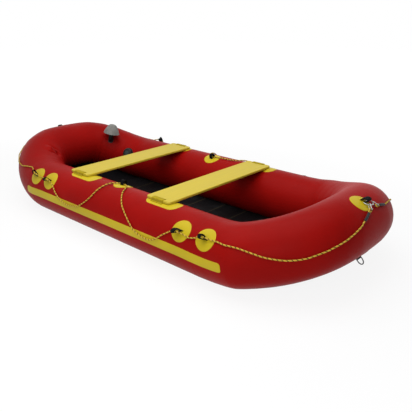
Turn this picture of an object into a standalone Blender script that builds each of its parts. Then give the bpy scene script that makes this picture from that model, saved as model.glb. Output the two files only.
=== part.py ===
"""Inflatable rescue boat: one ring of buoyancy tube in two chambers, a flat
bottom with a slatted floor, two strapped thwarts, a grab line through glued
loops, and bow and tow rings. Metres, +X to the bow, +Y to port, +Z up. The
origin is midway along the hull, on the surface that the tubes rest on."""

import math

import bmesh
import bpy
import numpy as np
from mathutils import Matrix, Vector

# Hull, driving dimensions
tube_radius = 0.220
half_beam_to_centre = 0.598
side_length = 1.975
bow_ramp_length = 0.245
bow_length = 0.447
bow_fullness = 0.604
bow_rise = 0.183
bow_gore_ease = 0.60
stern_length = 0.596
stern_reach = 1.378
stern_fullness = 0.578
stern_rise = 0.175
tube_sides = 32
gores_per_quarter = 8

# Clearance that touching pieces keep, and how far joined parts of one piece run into each other
seam = 0.0003
weld = 0.00075

# Bulkheads between the two chambers
bulkhead_x = 0.135
bulkhead_thickness = 0.0015

# Bottom and slatted floor
skin_height = 0.030
skin_thickness = 0.003
floor_board_count = 8
floor_board_thickness = 0.022
floor_board_gap = 0.0015
floor_side_clearance = 0.004
floor_tongue_length = 0.009
floor_tongue_thickness = 0.007
floor_tongue_clearance = 0.0006
floor_chamfer = 0.002

# Thwarts, their straps and the patches under them
thwart_x = {"fore": 0.428, "aft": -0.556}
thwart_width = 0.250
thwart_half_length = 0.628
thwart_thickness = 0.020
thwart_edge = 0.005
thwart_corner = 0.022
slot_length = 0.132
slot_width = 0.014
slot_corner = 0.0063
slot_y = 0.600
strap_thickness = 0.004
strap_clearance = 0.0006
strap_bend = 0.001
strap_foot = 0.012
thwart_patch_length = 0.400
thwart_patch_reach = 0.078
thwart_patch_corner = 0.060
thwart_patch_thickness = 0.002

# Side strakes, with runs along the tube from amidships and angles above the horizontal
strake_aft_run = -1.105
strake_fore_run = 1.165
strake_low = -6.0
strake_high = 11.5
strake_thickness = 0.0015

# Grab line, its loops and their glued patches
rope_diameter = 0.010
rope_slack = 0.0022
rope_longest = 0.14
rope_end = 0.008
rope_gap = 0.002
rope_climb = 0.045
rope_leads = (0.020, 0.045)
rope_stern_drop = 1.2
patch_radius = 0.080
bow_patch_radius = 0.068
patch_thickness = 0.003
loop_thickness = 0.003
loop_foot = 0.012
side_loop_runs = {"stern_a": -1.003, "stern_b": -0.797, "bow_b": 0.810, "bow_a": 1.042}
side_loop = {"angle": 41.0, "inside": 0.014, "clear": 0.056, "width": 0.028}
side_loop_leans = {
    "stern_a": (-0.55, 0.60),
    "stern_b": (-0.45, 0.10),
    "bow_b": (-0.55, -0.35),
    "bow_a": (-0.50, 0.45),
}
middle_loop_run = -0.066
middle_loop = {"angle": 104.0, "inside": 0.018, "clear": 0.038, "width": 0.034}
stern_loop = {"angle": 48.0, "inside": 0.018, "clear": 0.032, "width": 0.034}

# Bow ring, shackles, rope eyes and sleeves
bow_loop = {"angle": 63.5, "inside": 0.015, "clear": 0.025, "width": 0.050}
ring_rod = 0.006
ring_half_width = 0.039
ring_depth = 0.050
ring_tilt = 14.0
ring_bend_factor = 1.25
ring_slack = 0.0006
ring_patch_gap = 0.0008
shackle_spread = 45.0
shackle_rod = 0.005
shackle_inside = 0.0125
shackle_ear_radius = 0.0065
shackle_rest = 0.0010
pin_clearance = 0.0004
pin_head_radius = 0.0045
pin_head_height = 0.002
pin_tab_width = 0.009
pin_tab_thickness = 0.002
pin_tab_height = 0.006
pin_tab_corner = 0.0008
pin_lift = 0.020
bow_pins = {"starboard": (0.038, 44.5), "port": (0.038, 45.5)}
eye_rope = 0.009
eye_round = 0.009
eye_neck = 0.0055
eye_length = 0.026
sleeve_diameter = 0.018
sleeve_length = 0.080

# Tow ring under the bow
tow_loop = {"angle": -64.0, "inside": 0.012, "clear": 0.022, "width": 0.036}
tow_ring_rod = 0.008
tow_ring_half_width = 0.030
tow_ring_depth = 0.050
tow_ring_tilt = 45.0

# Inflation valves, one for each chamber, as side, run and angle
valve_places = {"aft": (1, -1.190, 157.0), "fore": (-1, 1.330, 150.0)}
valve_flange_radius = 0.060
valve_flange_thickness = 0.005
valve_barrel_radius = 0.036
valve_barrel_height = 0.014
valve_barrel_edge = 0.001
valve_cap_radius = 0.052
valve_cap_height = 0.020
valve_cap_crown = 0.010
valve_cap_top_radius = 0.030
valve_cap_flutes = 12
valve_cap_flute_depth = 0.0012

# Relief valve: a bent neck under a fluted bell
relief_place = (1, -1.533, 145.0)
relief_flange_radius = 0.033
relief_flange_thickness = 0.005
neck_radius = 0.024
neck_out = 0.030
neck_bend = 0.030
neck_up = 0.153
bell_lean = 13.0
bell_lean_towards = 42.0
bell_top_radius = 0.020
bell_rim_radius = 0.085
bell_height = 0.094
bell_roof = 0.010
bell_wall = 0.005
bell_flutes = 14
bell_flute_depth = 0.0028
bell_curve = 0.55
bell_flute_growth = 0.5

# Rope routes from the bow sleeves to the stern: run along the tube, angle round it
bow_routes = {
    "starboard": (
        (1.875, 31.0), (1.810, 23.0), (1.726, 15.0), (1.637, 9.0), (1.550, 7.0), (1.460, 12.0),
        (1.390, 19.0),
    ),
    "port": (
        (1.885, 39.5), (1.797, 38.0), (1.700, 31.0), (1.600, 22.0), (1.500, 17.0), (1.400, 20.5),
    ),
}
fore_route = (
    (1.310, 28.5), (1.240, 37.0), (1.170, 40.5), (1.110, 41.0), (1.042, 41.0), (0.995, 39.5),
    (0.945, 36.5), (0.895, 34.0), (0.840, 37.0), (0.785, 39.5),
)
middle_routes = {
    "starboard": (
        (0.740, 34.0), (0.675, 23.0), (0.600, 9.0), (0.536, 3.5), (0.455, 4.0), (0.374, 10.0),
        (0.307, 22.0), (0.235, 35.0), (0.166, 48.0), (0.085, 70.0), (0.040, 88.0), (-0.010, 100.0),
    ),
    "port": (
        (0.720, 40.0), (0.620, 42.0), (0.470, 43.0), (0.340, 46.0), (0.270, 60.0), (0.235, 80.0),
        (0.195, 93.0), (0.114, 97.0), (0.030, 99.0),
    ),
}
aft_route = (
    (-0.050, 103.0), (-0.082, 103.0), (-0.120, 97.0), (-0.147, 84.0), (-0.170, 62.0), (-0.203, 35.0),
    (-0.305, 13.0), (-0.420, 5.5), (-0.514, 6.0), (-0.621, 15.0), (-0.715, 31.0), (-0.770, 39.0),
    (-0.840, 41.0), (-0.950, 40.5), (-1.040, 42.0), (-1.095, 47.0), (-1.150, 51.0), (-1.224, 45.0),
    (-1.351, 31.0), (-1.500, 24.0),
    (-1.680, 25.0), (-1.850, 36.0), (-1.940, 44.5), (-1.980, 46.4),
)

# Worked out from the dimensions above
sides = {"port": 1, "starboard": -1}
angle_step = 360.0 / tube_sides
arc_per_degree = math.radians(1.0) * tube_radius
hull_length = 2 * tube_radius + stern_length + side_length + bow_ramp_length + bow_length
aft_knuckle = -hull_length / 2 + tube_radius + stern_length
fore_knuckle = aft_knuckle + side_length
patch_top = seam + patch_thickness
rope_lift = patch_top + rope_diameter / 2 + rope_gap
deck_top = 2 * tube_radius + seam + thwart_patch_thickness

for old in list(bpy.data.objects):
    bpy.data.objects.remove(old, do_unlink=True)


# Tube centreline and its mitred rings, for the port half
def end_curve(length, reach, fullness, ease):
    """Points of one rounded end, as distance outward and share of the half beam."""
    points = []
    for gore in range(1, gores_per_quarter + 1):
        turn = math.pi / 2 * (gore / gores_per_quarter) ** ease
        across = max(math.cos(turn), 0.0) ** fullness if gore < gores_per_quarter else 0.0
        points.append((length * math.sin(turn) ** reach, across))
    return points


def half_path():
    """The tube's centreline from the stern's middle to the bow's middle, on the port side."""
    stern = []
    for out, across in end_curve(stern_length, stern_reach, stern_fullness, 1.0):
        height = tube_radius + stern_rise * (out / stern_length) ** 2
        stern.append((aft_knuckle - out, half_beam_to_centre * across, height))
    line = stern[::-1]
    line.append((aft_knuckle, half_beam_to_centre, tube_radius))
    line.append((fore_knuckle, half_beam_to_centre, tube_radius))
    rising = bow_ramp_length + bow_length
    bow = [(bow_ramp_length * share, 1.0) for share in (0.5, 1.0)]
    for out, across in end_curve(bow_length, 2.0, bow_fullness, bow_gore_ease):
        bow.append((bow_ramp_length + out, across))
    for out, across in bow:
        height = tube_radius + bow_rise * (out / rising) ** 2
        line.append((fore_knuckle + out, half_beam_to_centre * across, height))
    return [Vector(point) for point in line]


path = half_path()
directions = [(b - a).normalized() for a, b in zip(path, path[1:])]
lengths = [(b - a).length for a, b in zip(path, path[1:])]
straight = gores_per_quarter


def measure_runs():
    """Distance along the centreline of each station, with the aft knuckle at its own x."""
    runs = [0.0] * len(path)
    runs[straight] = aft_knuckle
    for station in range(straight + 1, len(path)):
        runs[station] = runs[station - 1] + lengths[station - 1]
    for station in range(straight - 1, -1, -1):
        runs[station] = runs[station + 1] - lengths[station]
    return runs


def carry_frames():
    """Outward and upward directions of each stretch, carried through the mitres without a twist."""
    carried = [None] * len(directions)
    carried[straight] = (Vector((0, 1, 0)), Vector((0, 0, 1)))
    for stretch in range(straight + 1, len(directions)):
        turn = directions[stretch - 1].rotation_difference(directions[stretch])
        carried[stretch] = tuple(turn @ axis for axis in carried[stretch - 1])
    for stretch in range(straight - 1, -1, -1):
        turn = directions[stretch + 1].rotation_difference(directions[stretch])
        carried[stretch] = tuple(turn @ axis for axis in carried[stretch + 1])
    return carried


run_at = measure_runs()
stern_run = run_at[0]
bow_run = run_at[-1]
frames = carry_frames()
stretch_middles = [(a + b) / 2 for a, b in zip(run_at, run_at[1:])]
stretch_rolls = [math.degrees(math.atan2(out.z, math.hypot(out.x, out.y))) for out, up in frames]


def roll_at(run):
    """How far round the tube, in degrees, the mitres have carried the seams at this run."""
    return float(np.interp(run, stretch_middles, stretch_rolls))


def corner(station, turn, radius):
    """Where the seam at this turn round the tube meets the mitre plane of a station."""
    stretch = min(station, len(directions) - 1)
    out, up = frames[stretch]
    point = path[station] + (out * math.cos(turn) + up * math.sin(turn)) * radius
    along = directions[stretch]
    if station in (0, len(path) - 1):
        normal = Vector((0, 1, 0))
    else:
        normal = (directions[station - 1] + directions[station]).normalized()
    return point + along * ((path[station] - point).dot(normal) / along.dot(normal))


def facet_point(station, seam_angle, radius):
    """A point of a station's ring, on the straight facet between two of its corners."""
    low = math.floor(seam_angle / angle_step + 1e-9)
    first = corner(station, math.radians(low * angle_step), radius)
    second = corner(station, math.radians((low + 1) * angle_step), radius)
    return first.lerp(second, seam_angle / angle_step - low)


def fold(side, run):
    """Carries a run that goes past a tip on to the other side of the boat."""
    if run > bow_run:
        return -side, 2 * bow_run - run
    if run < stern_run:
        return -side, 2 * stern_run - run
    return side, run


def seam_point(side, run, seam_angle, lift=0.0):
    """A point over the tube's facets, at an angle counted from the seams. Side is 1 to port."""
    side, run = fold(side, run)
    stretch = 0
    while stretch < len(directions) - 1 and run > run_at[stretch + 1]:
        stretch += 1
    share = (run - run_at[stretch]) / lengths[stretch]
    start = facet_point(stretch, seam_angle, tube_radius + lift)
    end = facet_point(stretch + 1, seam_angle, tube_radius + lift)
    point = start.lerp(end, share)
    return Vector((point.x, side * point.y, point.z))


def tube_point(side, run, angle, lift=0.0):
    """A point over the tube's facets, at a true angle above the outward horizontal."""
    return seam_point(side, run, angle - roll_at(fold(side, run)[1]), lift)


def surface_frame(side, run, angle, lift=0.0):
    """Origin, direction along the tube, direction up round it, and normal, at a point of the tube."""
    reach = 0.004
    origin = tube_point(side, run, angle, lift)
    along = (tube_point(side, run + reach, angle) - tube_point(side, run - reach, angle)).normalized()
    around = tube_point(side, run, angle + angle_step) - tube_point(side, run, angle - angle_step)
    around = (around - along * around.dot(along)).normalized()
    normal = along.cross(around)
    if normal.dot(tube_point(side, run, angle, tube_radius / 4) - tube_point(side, run, angle)) < 0:
        normal.negate()
    return origin, along, around, normal


# Materials
def finish(name, colour, roughness, metallic=0.0):
    material = bpy.data.materials.new(name)
    material.use_nodes = True
    shader = material.node_tree.nodes["Principled BSDF"]
    shader.inputs["Base Color"].default_value = (*colour, 1.0)
    shader.inputs["Roughness"].default_value = roughness
    shader.inputs["Metallic"].default_value = metallic
    material.diffuse_color = (*colour, 1.0)
    return material


red_fabric = finish("red_coated_fabric", (0.37, 0.017, 0.017), 0.45)
yellow_fabric = finish("yellow_coated_fabric", (0.70, 0.50, 0.03), 0.5)
yellow_board = finish("yellow_board", (0.66, 0.52, 0.08), 0.45)
black_fabric = finish("black_bottom_fabric", (0.015, 0.015, 0.017), 0.7)
black_board = finish("black_floor_board", (0.012, 0.013, 0.014), 0.5)
black_rubber = finish("black_rubber", (0.02, 0.02, 0.022), 0.55)
black_plastic = finish("black_plastic", (0.03, 0.033, 0.032), 0.4)
stainless = finish("stainless_steel", (0.62, 0.62, 0.60), 0.25, 1.0)
grey_plastic = finish("grey_plastic", (0.29, 0.29, 0.27), 0.5)
rope_yarn = finish("yellow_rope", (0.55, 0.42, 0.05), 0.8)
bulkhead_film = finish("bulkhead_film", (0.20, 0.20, 0.20), 0.6)


# Mesh helpers
def add_object(name, data, material):
    data.materials.append(material)
    made = bpy.data.objects.new(name, data)
    bpy.context.scene.collection.objects.link(made)
    return made


def round_off(target, sharp=35.0):
    """Smooth shading, with edges over this many degrees kept sharp."""
    target.data.shade_smooth()
    target.data.set_sharp_from_angle(angle=math.radians(sharp))
    return target


def face_outward(mesh):
    """Joins points that meet and turns every face outward."""
    shape = bmesh.new()
    shape.from_mesh(mesh)
    bmesh.ops.remove_doubles(shape, verts=shape.verts, dist=1e-6)
    bmesh.ops.recalc_face_normals(shape, faces=shape.faces)
    shape.to_mesh(mesh)
    shape.free()


def make_object(name, points, faces, material, sharp=35.0):
    mesh = bpy.data.meshes.new(name)
    mesh.from_pydata([tuple(point) for point in points], [], [tuple(face) for face in faces])
    face_outward(mesh)
    return round_off(add_object(name, mesh, material), sharp)


def loft(rings):
    """Points and faces of a skin over rings of equal length, closed by a face at each end."""
    count = len(rings[0])
    points = [point for ring in rings for point in ring]
    faces = []
    for row in range(len(rings) - 1):
        near = row * count
        far = near + count
        for index in range(count):
            after = (index + 1) % count
            faces.append((near + index, near + after, far + after, far + index))
    faces.append(tuple(range(count)))
    faces.append(tuple(range(len(points) - count, len(points))))
    return points, faces


def combine(target, tool, operation):
    """Applies one Boolean and removes the tool."""
    modifier = target.modifiers.new(operation.lower(), "BOOLEAN")
    modifier.operation = operation
    modifier.object = tool
    graph = bpy.context.evaluated_depsgraph_get()
    result = bpy.data.meshes.new_from_object(target.evaluated_get(graph))
    target.modifiers.clear()
    spare = target.data
    target.data = result
    bpy.data.meshes.remove(spare)
    bpy.data.objects.remove(tool, do_unlink=True)
    return target


def set_origin(target, origin):
    """Puts the object's origin on its joint's axis, with the shape left where it is."""
    target.data.transform(Matrix.Translation(-origin))
    target.location = origin
    return target


def hang_on(child, parent):
    """Parents a piece to the one that carries it, with both left where they are."""
    child.parent = parent
    child.matrix_parent_inverse = Matrix.Translation(-parent.location)


def circle(radius, count=20):
    """Points of a circle, half a step off its axes so that no corner lies on a seam of the tube."""
    turns = [2 * math.pi * (step + 0.5) / count for step in range(count)]
    return [(radius * math.cos(turn), radius * math.sin(turn)) for turn in turns]


def fluted_circle(radius, flutes, depth, steps=4):
    """Points of a circle with round flutes cut into it."""
    count = steps * flutes
    outline = []
    for step in range(count):
        turn = 2 * math.pi * step / count
        reach = radius - depth * (0.5 - 0.5 * math.cos(flutes * turn))
        outline.append((reach * math.cos(turn), reach * math.sin(turn)))
    return outline


def rounded_rectangle(width, length, corner_radius, steps):
    """Points of a rectangle with round corners, as across and along."""
    outline = []
    half_width = width / 2 - corner_radius
    half_length = length / 2 - corner_radius
    for quarter, (sign_w, sign_l) in enumerate(((1, 1), (-1, 1), (-1, -1), (1, -1))):
        for step in range(steps + 1):
            turn = math.pi / 2 * (quarter + step / steps)
            across = sign_w * half_width + corner_radius * math.cos(turn)
            outline.append((across, sign_l * half_length + corner_radius * math.sin(turn)))
    return outline


def stack(name, outlines, origin, axes, material):
    """A solid through outlines of equal length, each given after its height. Axes: across, along, up."""
    across, along, up = axes
    rings = []
    for height, outline in outlines:
        rings.append([origin + across * a + along * b + up * height for a, b in outline])
    return make_object(name, *loft(rings), material)


def axes_about(up):
    """Three axes square to each other, the last of them given."""
    helper = Vector((0, 0, 1)) if abs(up.z) < 0.8 else Vector((1, 0, 0))
    across = up.cross(helper).normalized()
    return across, up.cross(across), up


def post(name, origin, up, profile, material, count=24):
    """A turned solid: its profile lists height and radius."""
    outlines = [(height, circle(radius, count)) for height, radius in profile]
    return stack(name, outlines, origin, axes_about(up), material)


def skin_block(side, run_start, run_end, angle_start, angle_end, thickness):
    """A plate that follows the tube's facets, between two runs and two seam angles."""
    stations = [2 * stern_run - run for run in run_at[:0:-1]] + run_at
    stations += [2 * bow_run - run for run in run_at[-2::-1]]
    runs = [run_start] + [run for run in stations if run_start < run < run_end] + [run_end]
    first = math.floor(angle_start / angle_step) + 1
    last = math.ceil(angle_end / angle_step) - 1
    angles = [angle_start] + [angle_step * k for k in range(first, last + 1)] + [angle_end]
    rings = []
    for run in runs:
        inner = [seam_point(side, run, angle, seam) for angle in angles]
        outer = [seam_point(side, run, angle, seam + thickness) for angle in angles]
        rings.append(inner + outer[::-1])
    return loft(rings)


def skin_patch(name, side, run, angle, outline, thickness, material):
    """A glued patch: an outline across and along the tube, cut from a plate that follows it."""
    origin, along, around, normal = surface_frame(side, run, angle)
    margin = 1.25
    reach = max(math.hypot(a, b) for a, b in outline) * margin
    turn = math.degrees(math.asin(min(reach / tube_radius, 0.9)))
    middle = angle - roll_at(fold(side, run)[1])
    block = skin_block(side, run - reach, run + reach, middle - turn, middle + turn, thickness)
    patch = make_object(name, *block, material)
    depths = [(-tube_radius / 2, outline), (tube_radius / 4, outline)]
    cutter = stack("cutter", depths, origin, (around, along, normal), material)
    return round_off(combine(patch, cutter, "INTERSECT"))


def arch_outline(inside, clear, bury):
    """Strap on edge: two feet that follow the tube and a round arch, as distance round it and height."""
    outside = inside + loop_thickness
    spring = clear - inside

    def drop(across):
        return tube_radius - math.sqrt(tube_radius**2 - across**2)

    def arc(radius, turns):
        return [(radius * math.cos(turn), spring + radius * math.sin(turn)) for turn in turns]

    steps = 6
    turns = [math.pi * step / steps for step in range(steps + 1)]
    foot_stops = (outside, outside + loop_foot / 2, outside + loop_foot)
    outline = [(-inside, -drop(inside) - bury)]
    outline += arc(inside, turns[::-1])
    outline.append((inside, -drop(inside) - bury))
    outline += [(stop, -drop(stop) - bury) for stop in foot_stops]
    outline += [(stop, -drop(stop) + loop_thickness) for stop in foot_stops[::-1]]
    outline += arc(outside, turns)
    outline += [(-stop, -drop(stop) + loop_thickness) for stop in foot_stops]
    outline += [(-stop, -drop(stop) - bury) for stop in foot_stops[::-1]]
    return outline


def loop_patch(name, side, run, loop, radius=patch_radius, material=yellow_fabric, lean=(0.0, 0.0)):
    """A round glued patch with a webbing loop bonded to it, leaning along and round the tube."""
    patch = skin_patch(name, side, run, loop["angle"], circle(radius), patch_thickness, material)
    origin, along, around, normal = surface_frame(side, run, loop["angle"], patch_top)
    stand = normal + along * lean[0] + around * lean[1]
    outline = arch_outline(loop["inside"], loop["clear"], patch_thickness / 2)
    rings = []
    for offset in (-loop["width"] / 2, loop["width"] / 2):
        rings.append([origin + around * a + stand * height + along * offset for a, height in outline])
    strap = make_object("strap", *loft(rings), material)
    return round_off(combine(patch, strap, "UNION"))


def spread(points, spacing):
    """Even points along a Catmull-Rom curve through the given points, of any number of values each."""
    given = [np.array(point, float) for point in points]
    ends = [2 * given[0] - given[1]] + given + [2 * given[-1] - given[-2]]
    dense = []
    for a, b, c, d in zip(ends, ends[1:], ends[2:], ends[3:]):
        for t in np.linspace(0, 1, 24, endpoint=False):
            bend = (2 * a - 5 * b + 4 * c - d) * t**2 + (3 * b - a - 3 * c + d) * t**3
            dense.append(b + ((c - a) * t + bend) / 2)
    dense = np.array(dense + [given[-1]])
    travel = np.concatenate([[0.0], np.cumsum(np.linalg.norm(np.diff(dense, axis=0), axis=1))])
    wanted = np.linspace(0, travel[-1], max(2, round(travel[-1] / spacing) + 1))
    return np.array([np.interp(wanted, travel, column) for column in dense.T]).T


def thinned(line, slack, longest):
    """The fewest points of a fine line whose chords stay this close to it and this short."""
    kept = [0]
    for index in range(2, len(line)):
        start = line[kept[-1]]
        chord = line[index] - start
        length = np.linalg.norm(chord)
        between = line[kept[-1] + 1 : index] - start
        off = between - np.outer(between @ chord, chord) / length**2
        if length > longest or np.linalg.norm(off, axis=1).max() > slack:
            kept.append(index - 1)
    kept.append(len(line) - 1)
    return line[kept]


def bar(name, points, diameter, material, resolution=2, cyclic=False):
    """A round bar or rope along a line of points."""
    curve = bpy.data.curves.new(name, "CURVE")
    curve.dimensions = "3D"
    curve.bevel_depth = diameter / 2
    curve.bevel_resolution = resolution
    curve.use_fill_caps = not cyclic
    spline = curve.splines.new("POLY")
    spline.points.add(len(points) - 1)
    for place, point in zip(spline.points, points):
        place.co = (*point, 1.0)
    spline.use_cyclic_u = cyclic
    spline.use_smooth = True
    return add_object(name, curve, material)


def bar_mesh(name, points, diameter, material, resolution=2, cyclic=False):
    """The same bar as a mesh, for pieces that are cut, joined or turned about a pin."""
    made = bar("bar", points, diameter, material, resolution, cyclic)
    graph = bpy.context.evaluated_depsgraph_get()
    mesh = bpy.data.meshes.new_from_object(made.evaluated_get(graph))
    bpy.data.objects.remove(made, do_unlink=True)
    face_outward(mesh)
    mesh.materials.clear()
    return round_off(add_object(name, mesh, material))


# Buoyancy tube and bulkheads
def ring_points(side, station):
    ring = [corner(station, math.radians(k * angle_step), tube_radius) for k in range(tube_sides)]
    return [Vector((point.x, side * point.y, point.z)) for point in ring]


def square_ring(side, x):
    """A ring square to the straight side, at this place along the hull."""
    ring = []
    for k in range(tube_sides):
        turn = math.radians(k * angle_step)
        y = half_beam_to_centre + tube_radius * math.cos(turn)
        ring.append(Vector((x, side * y, tube_radius + tube_radius * math.sin(turn))))
    return ring


def build_chambers():
    margin = bulkhead_thickness / 2 + seam
    last = len(path) - 1
    fore = [square_ring(-1, bulkhead_x + margin)]
    fore += [ring_points(-1, station) for station in range(straight + 1, last + 1)]
    fore += [ring_points(1, station) for station in range(last - 1, straight, -1)]
    fore.append(square_ring(1, bulkhead_x + margin))
    aft = [square_ring(-1, bulkhead_x - margin)]
    aft += [ring_points(-1, station) for station in range(straight, -1, -1)]
    aft += [ring_points(1, station) for station in range(1, straight + 1)]
    aft.append(square_ring(1, bulkhead_x - margin))
    make_object("buoyancy_chamber_fore", *loft(fore), red_fabric, 60)
    make_object("buoyancy_chamber_aft", *loft(aft), red_fabric, 60)
    for name, side in sides.items():
        faces_at = (bulkhead_x - bulkhead_thickness / 2, bulkhead_x + bulkhead_thickness / 2)
        make_object(f"bulkhead_{name}", *loft([square_ring(side, x) for x in faces_at]), bulkhead_film)


# Bottom skin and slatted floor
skin_top = skin_height + skin_thickness / 2
skin_angle = 180.0 + math.degrees(math.asin((tube_radius - skin_top) / tube_radius))
floor_low = seam_point(1, 0.0, skin_angle, seam).z + seam
floor_top = floor_low + floor_board_thickness
floor_length = side_length - 2 * floor_side_clearance
floor_pitch = floor_length / floor_board_count


def build_bottom():
    """A sheet between the tubes' lower inner lines, from tip to tip, one rung at each station."""
    down = Vector((0, 0, -skin_thickness))
    edge = [seam_point(1, run, skin_angle, seam) for run in run_at]
    rings = []
    for port in edge[1:-1]:
        starboard = Vector((port.x, -port.y, port.z))
        rings.append([port, starboard, starboard + down, port + down])
    points, faces = loft(rings)
    faces = faces[:-2]
    for tip, first in ((edge[0], 0), (edge[-1], 4 * (len(rings) - 1))):
        top = len(points)
        points += [tip, tip + down]
        port_top, starboard_top, starboard_low, port_low = range(first, first + 4)
        faces += [
            (port_top, starboard_top, top),
            (port_low, starboard_low, top + 1),
            (port_top, top, top + 1, port_low),
            (starboard_top, top, top + 1, starboard_low),
        ]
    make_object("bottom_skin", points, faces, black_fabric)


def board_outline(first, last):
    """Side view of one floor board, tongue forward and groove aft, as x from its aft edge and height."""
    length = floor_pitch - floor_board_gap
    middle = floor_board_thickness / 2
    nose = floor_tongue_thickness / 2
    groove = nose + floor_tongue_clearance
    groove_depth = floor_tongue_length - floor_board_gap + floor_tongue_clearance
    outline = [(floor_chamfer, 0.0), (length - floor_chamfer, 0.0), (length, floor_chamfer)]
    if not last:
        steps = 4
        outline.append((length, middle - nose))
        for step in range(steps + 1):
            turn = math.pi * (step / steps - 0.5)
            x = length + floor_tongue_length - nose + nose * math.cos(turn)
            outline.append((x, middle + nose * math.sin(turn)))
        outline.append((length, middle + nose))
    outline.append((length, floor_board_thickness - floor_chamfer))
    outline.append((length - floor_chamfer, floor_board_thickness))
    outline.append((floor_chamfer, floor_board_thickness))
    outline.append((0.0, floor_board_thickness - floor_chamfer))
    if not first:
        outline += [(0.0, middle + groove), (groove_depth, middle + groove)]
        outline += [(groove_depth, middle - groove), (0.0, middle - groove)]
    outline.append((0.0, floor_chamfer))
    return outline


def build_floor():
    tube_reach = math.sqrt(tube_radius**2 - (tube_radius - floor_top) ** 2)
    half_length = half_beam_to_centre - tube_reach - floor_side_clearance
    for board in range(floor_board_count):
        x = aft_knuckle + floor_side_clearance + board * floor_pitch
        outline = board_outline(board == 0, board == floor_board_count - 1)
        rings = []
        for y in (-half_length, half_length):
            rings.append([Vector((x + along, y, floor_low + height)) for along, height in outline])
        make_object(f"floor_board_{board + 1}", *loft(rings), black_board)


# Thwarts, their patches and their straps
world_axes = (Vector((1, 0, 0)), Vector((0, 1, 0)), Vector((0, 0, 1)))


def build_thwart(place):
    centre = Vector((thwart_x[place], 0.0, deck_top + seam))
    round_steps = [math.pi / 2 * share for share in (0.0, 0.5, 1.0)]
    rises = []
    for turn in round_steps:
        rises.append((thwart_edge * (1 - math.cos(turn)), thwart_edge * (1 - math.sin(turn))))
    levels = rises + [(thwart_thickness - low, inset) for low, inset in rises[::-1]]
    outlines = []
    for height, inset in levels:
        length = 2 * (thwart_half_length - inset)
        width = thwart_width - 2 * inset
        outlines.append((height, rounded_rectangle(width, length, thwart_corner - inset, 4)))
    board = stack(f"thwart_{place}", outlines, centre, world_axes, yellow_board)
    slot = rounded_rectangle(slot_length, slot_width, slot_corner, 3)
    depths = [(-thwart_thickness, slot), (2 * thwart_thickness, slot)]
    for side in sides.values():
        middle = centre + Vector((0, side * slot_y, 0))
        cutter = stack("cutter", depths, middle, world_axes, yellow_board)
        combine(board, cutter, "DIFFERENCE")
    round_off(board)


def side_height(y, lift):
    """Height of the straight side's facets, lifted by this much, over a place across the boat."""
    radius = tube_radius + lift
    low = math.floor(math.degrees(math.acos((y - half_beam_to_centre) / radius)) / angle_step)
    first = corner(straight, math.radians(low * angle_step), radius)
    second = corner(straight, math.radians((low + 1) * angle_step), radius)
    return first.z + (second.z - first.z) * (y - first.y) / (second.y - first.y)


def side_line(inner_y, outer_y, lift):
    """Points over the straight side's facets from one place across the boat to another further out."""
    turns = [math.radians(k * angle_step) for k in range(tube_sides // 4, 0, -1)]
    bends = [half_beam_to_centre + (tube_radius + lift) * math.cos(turn) for turn in turns]
    stops = [inner_y] + [y for y in bends if inner_y < y < outer_y] + [outer_y]
    return [(y, side_height(y, lift)) for y in stops]


def strap_outline():
    """The strap from the patch up through the slot, over the board's end and down outside it, as y and z."""
    inner_out = slot_y + slot_width / 2 - strap_clearance
    inner_in = inner_out - strap_thickness
    outer_in = thwart_half_length + strap_clearance
    outer_out = outer_in + strap_thickness
    under = deck_top + seam + thwart_thickness + strap_clearance
    over = under + strap_thickness
    slot_bend = strap_bend + strap_thickness
    end_bend = thwart_edge - strap_clearance
    outer_bend = end_bend + strap_thickness

    lift = seam + thwart_patch_thickness
    foot = [(y, z + seam) for y, z in side_line(outer_out, outer_out + strap_foot, lift)]

    def arc(y, z, radius, start, end):
        turns = [math.radians(start + (end - start) * step / 4) for step in range(5)]
        return [(y + radius * math.cos(turn), z + radius * math.sin(turn)) for turn in turns]

    outline = [(inner_in, side_height(inner_in, lift) + seam)]
    outline += arc(inner_in + slot_bend, over - slot_bend, slot_bend, 180, 90)
    outline += arc(outer_out - outer_bend, over - outer_bend, outer_bend, 90, 0)
    outline += [(y, z + strap_thickness) for y, z in foot]
    outline += foot[::-1]
    outline.append((outer_in, side_height(outer_in, lift) + seam))
    outline += arc(outer_in - end_bend, under - end_bend, end_bend, 0, 90)
    outline += arc(inner_out + strap_bend, under - strap_bend, strap_bend, 90, 180)
    outline.append((inner_out, side_height(inner_out, lift) + seam))
    return outline


def build_thwart_fastenings(place):
    x = thwart_x[place]
    patch = rounded_rectangle(2 * thwart_patch_reach, thwart_patch_length, thwart_patch_corner, 6)
    half_width = (slot_length - slot_width) / 2
    for name, side in sides.items():
        patch_name = f"thwart_patch_{place}_{name}"
        skin_patch(patch_name, side, x, 90.0, patch, thwart_patch_thickness, yellow_fabric)
        rings = []
        for offset in (-half_width, half_width):
            rings.append([Vector((x + offset, side * y, z)) for y, z in strap_outline()])
        make_object(f"thwart_strap_{place}_{name}", *loft(rings), yellow_fabric)


# Side strakes
def build_strakes():
    for name, side in sides.items():
        block = skin_block(side, strake_aft_run, strake_fore_run, strake_low, strake_high, strake_thickness)
        make_object(f"side_strake_{name}", *block, yellow_fabric)


# Glued loops
def build_loops():
    for name, side in sides.items():
        for place, run in side_loop_runs.items():
            loop_patch(f"line_loop_{place}_{name}", side, run, side_loop, lean=side_loop_leans[place])
        loop_patch(f"line_loop_middle_{name}", side, middle_loop_run, middle_loop)
    loop_patch("line_loop_stern", 1, stern_run, stern_loop)
    loop_patch("bow_loop", 1, bow_run, bow_loop, bow_patch_radius)
    loop_patch("tow_loop", 1, bow_run, tow_loop, patch_radius, red_fabric)


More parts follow.
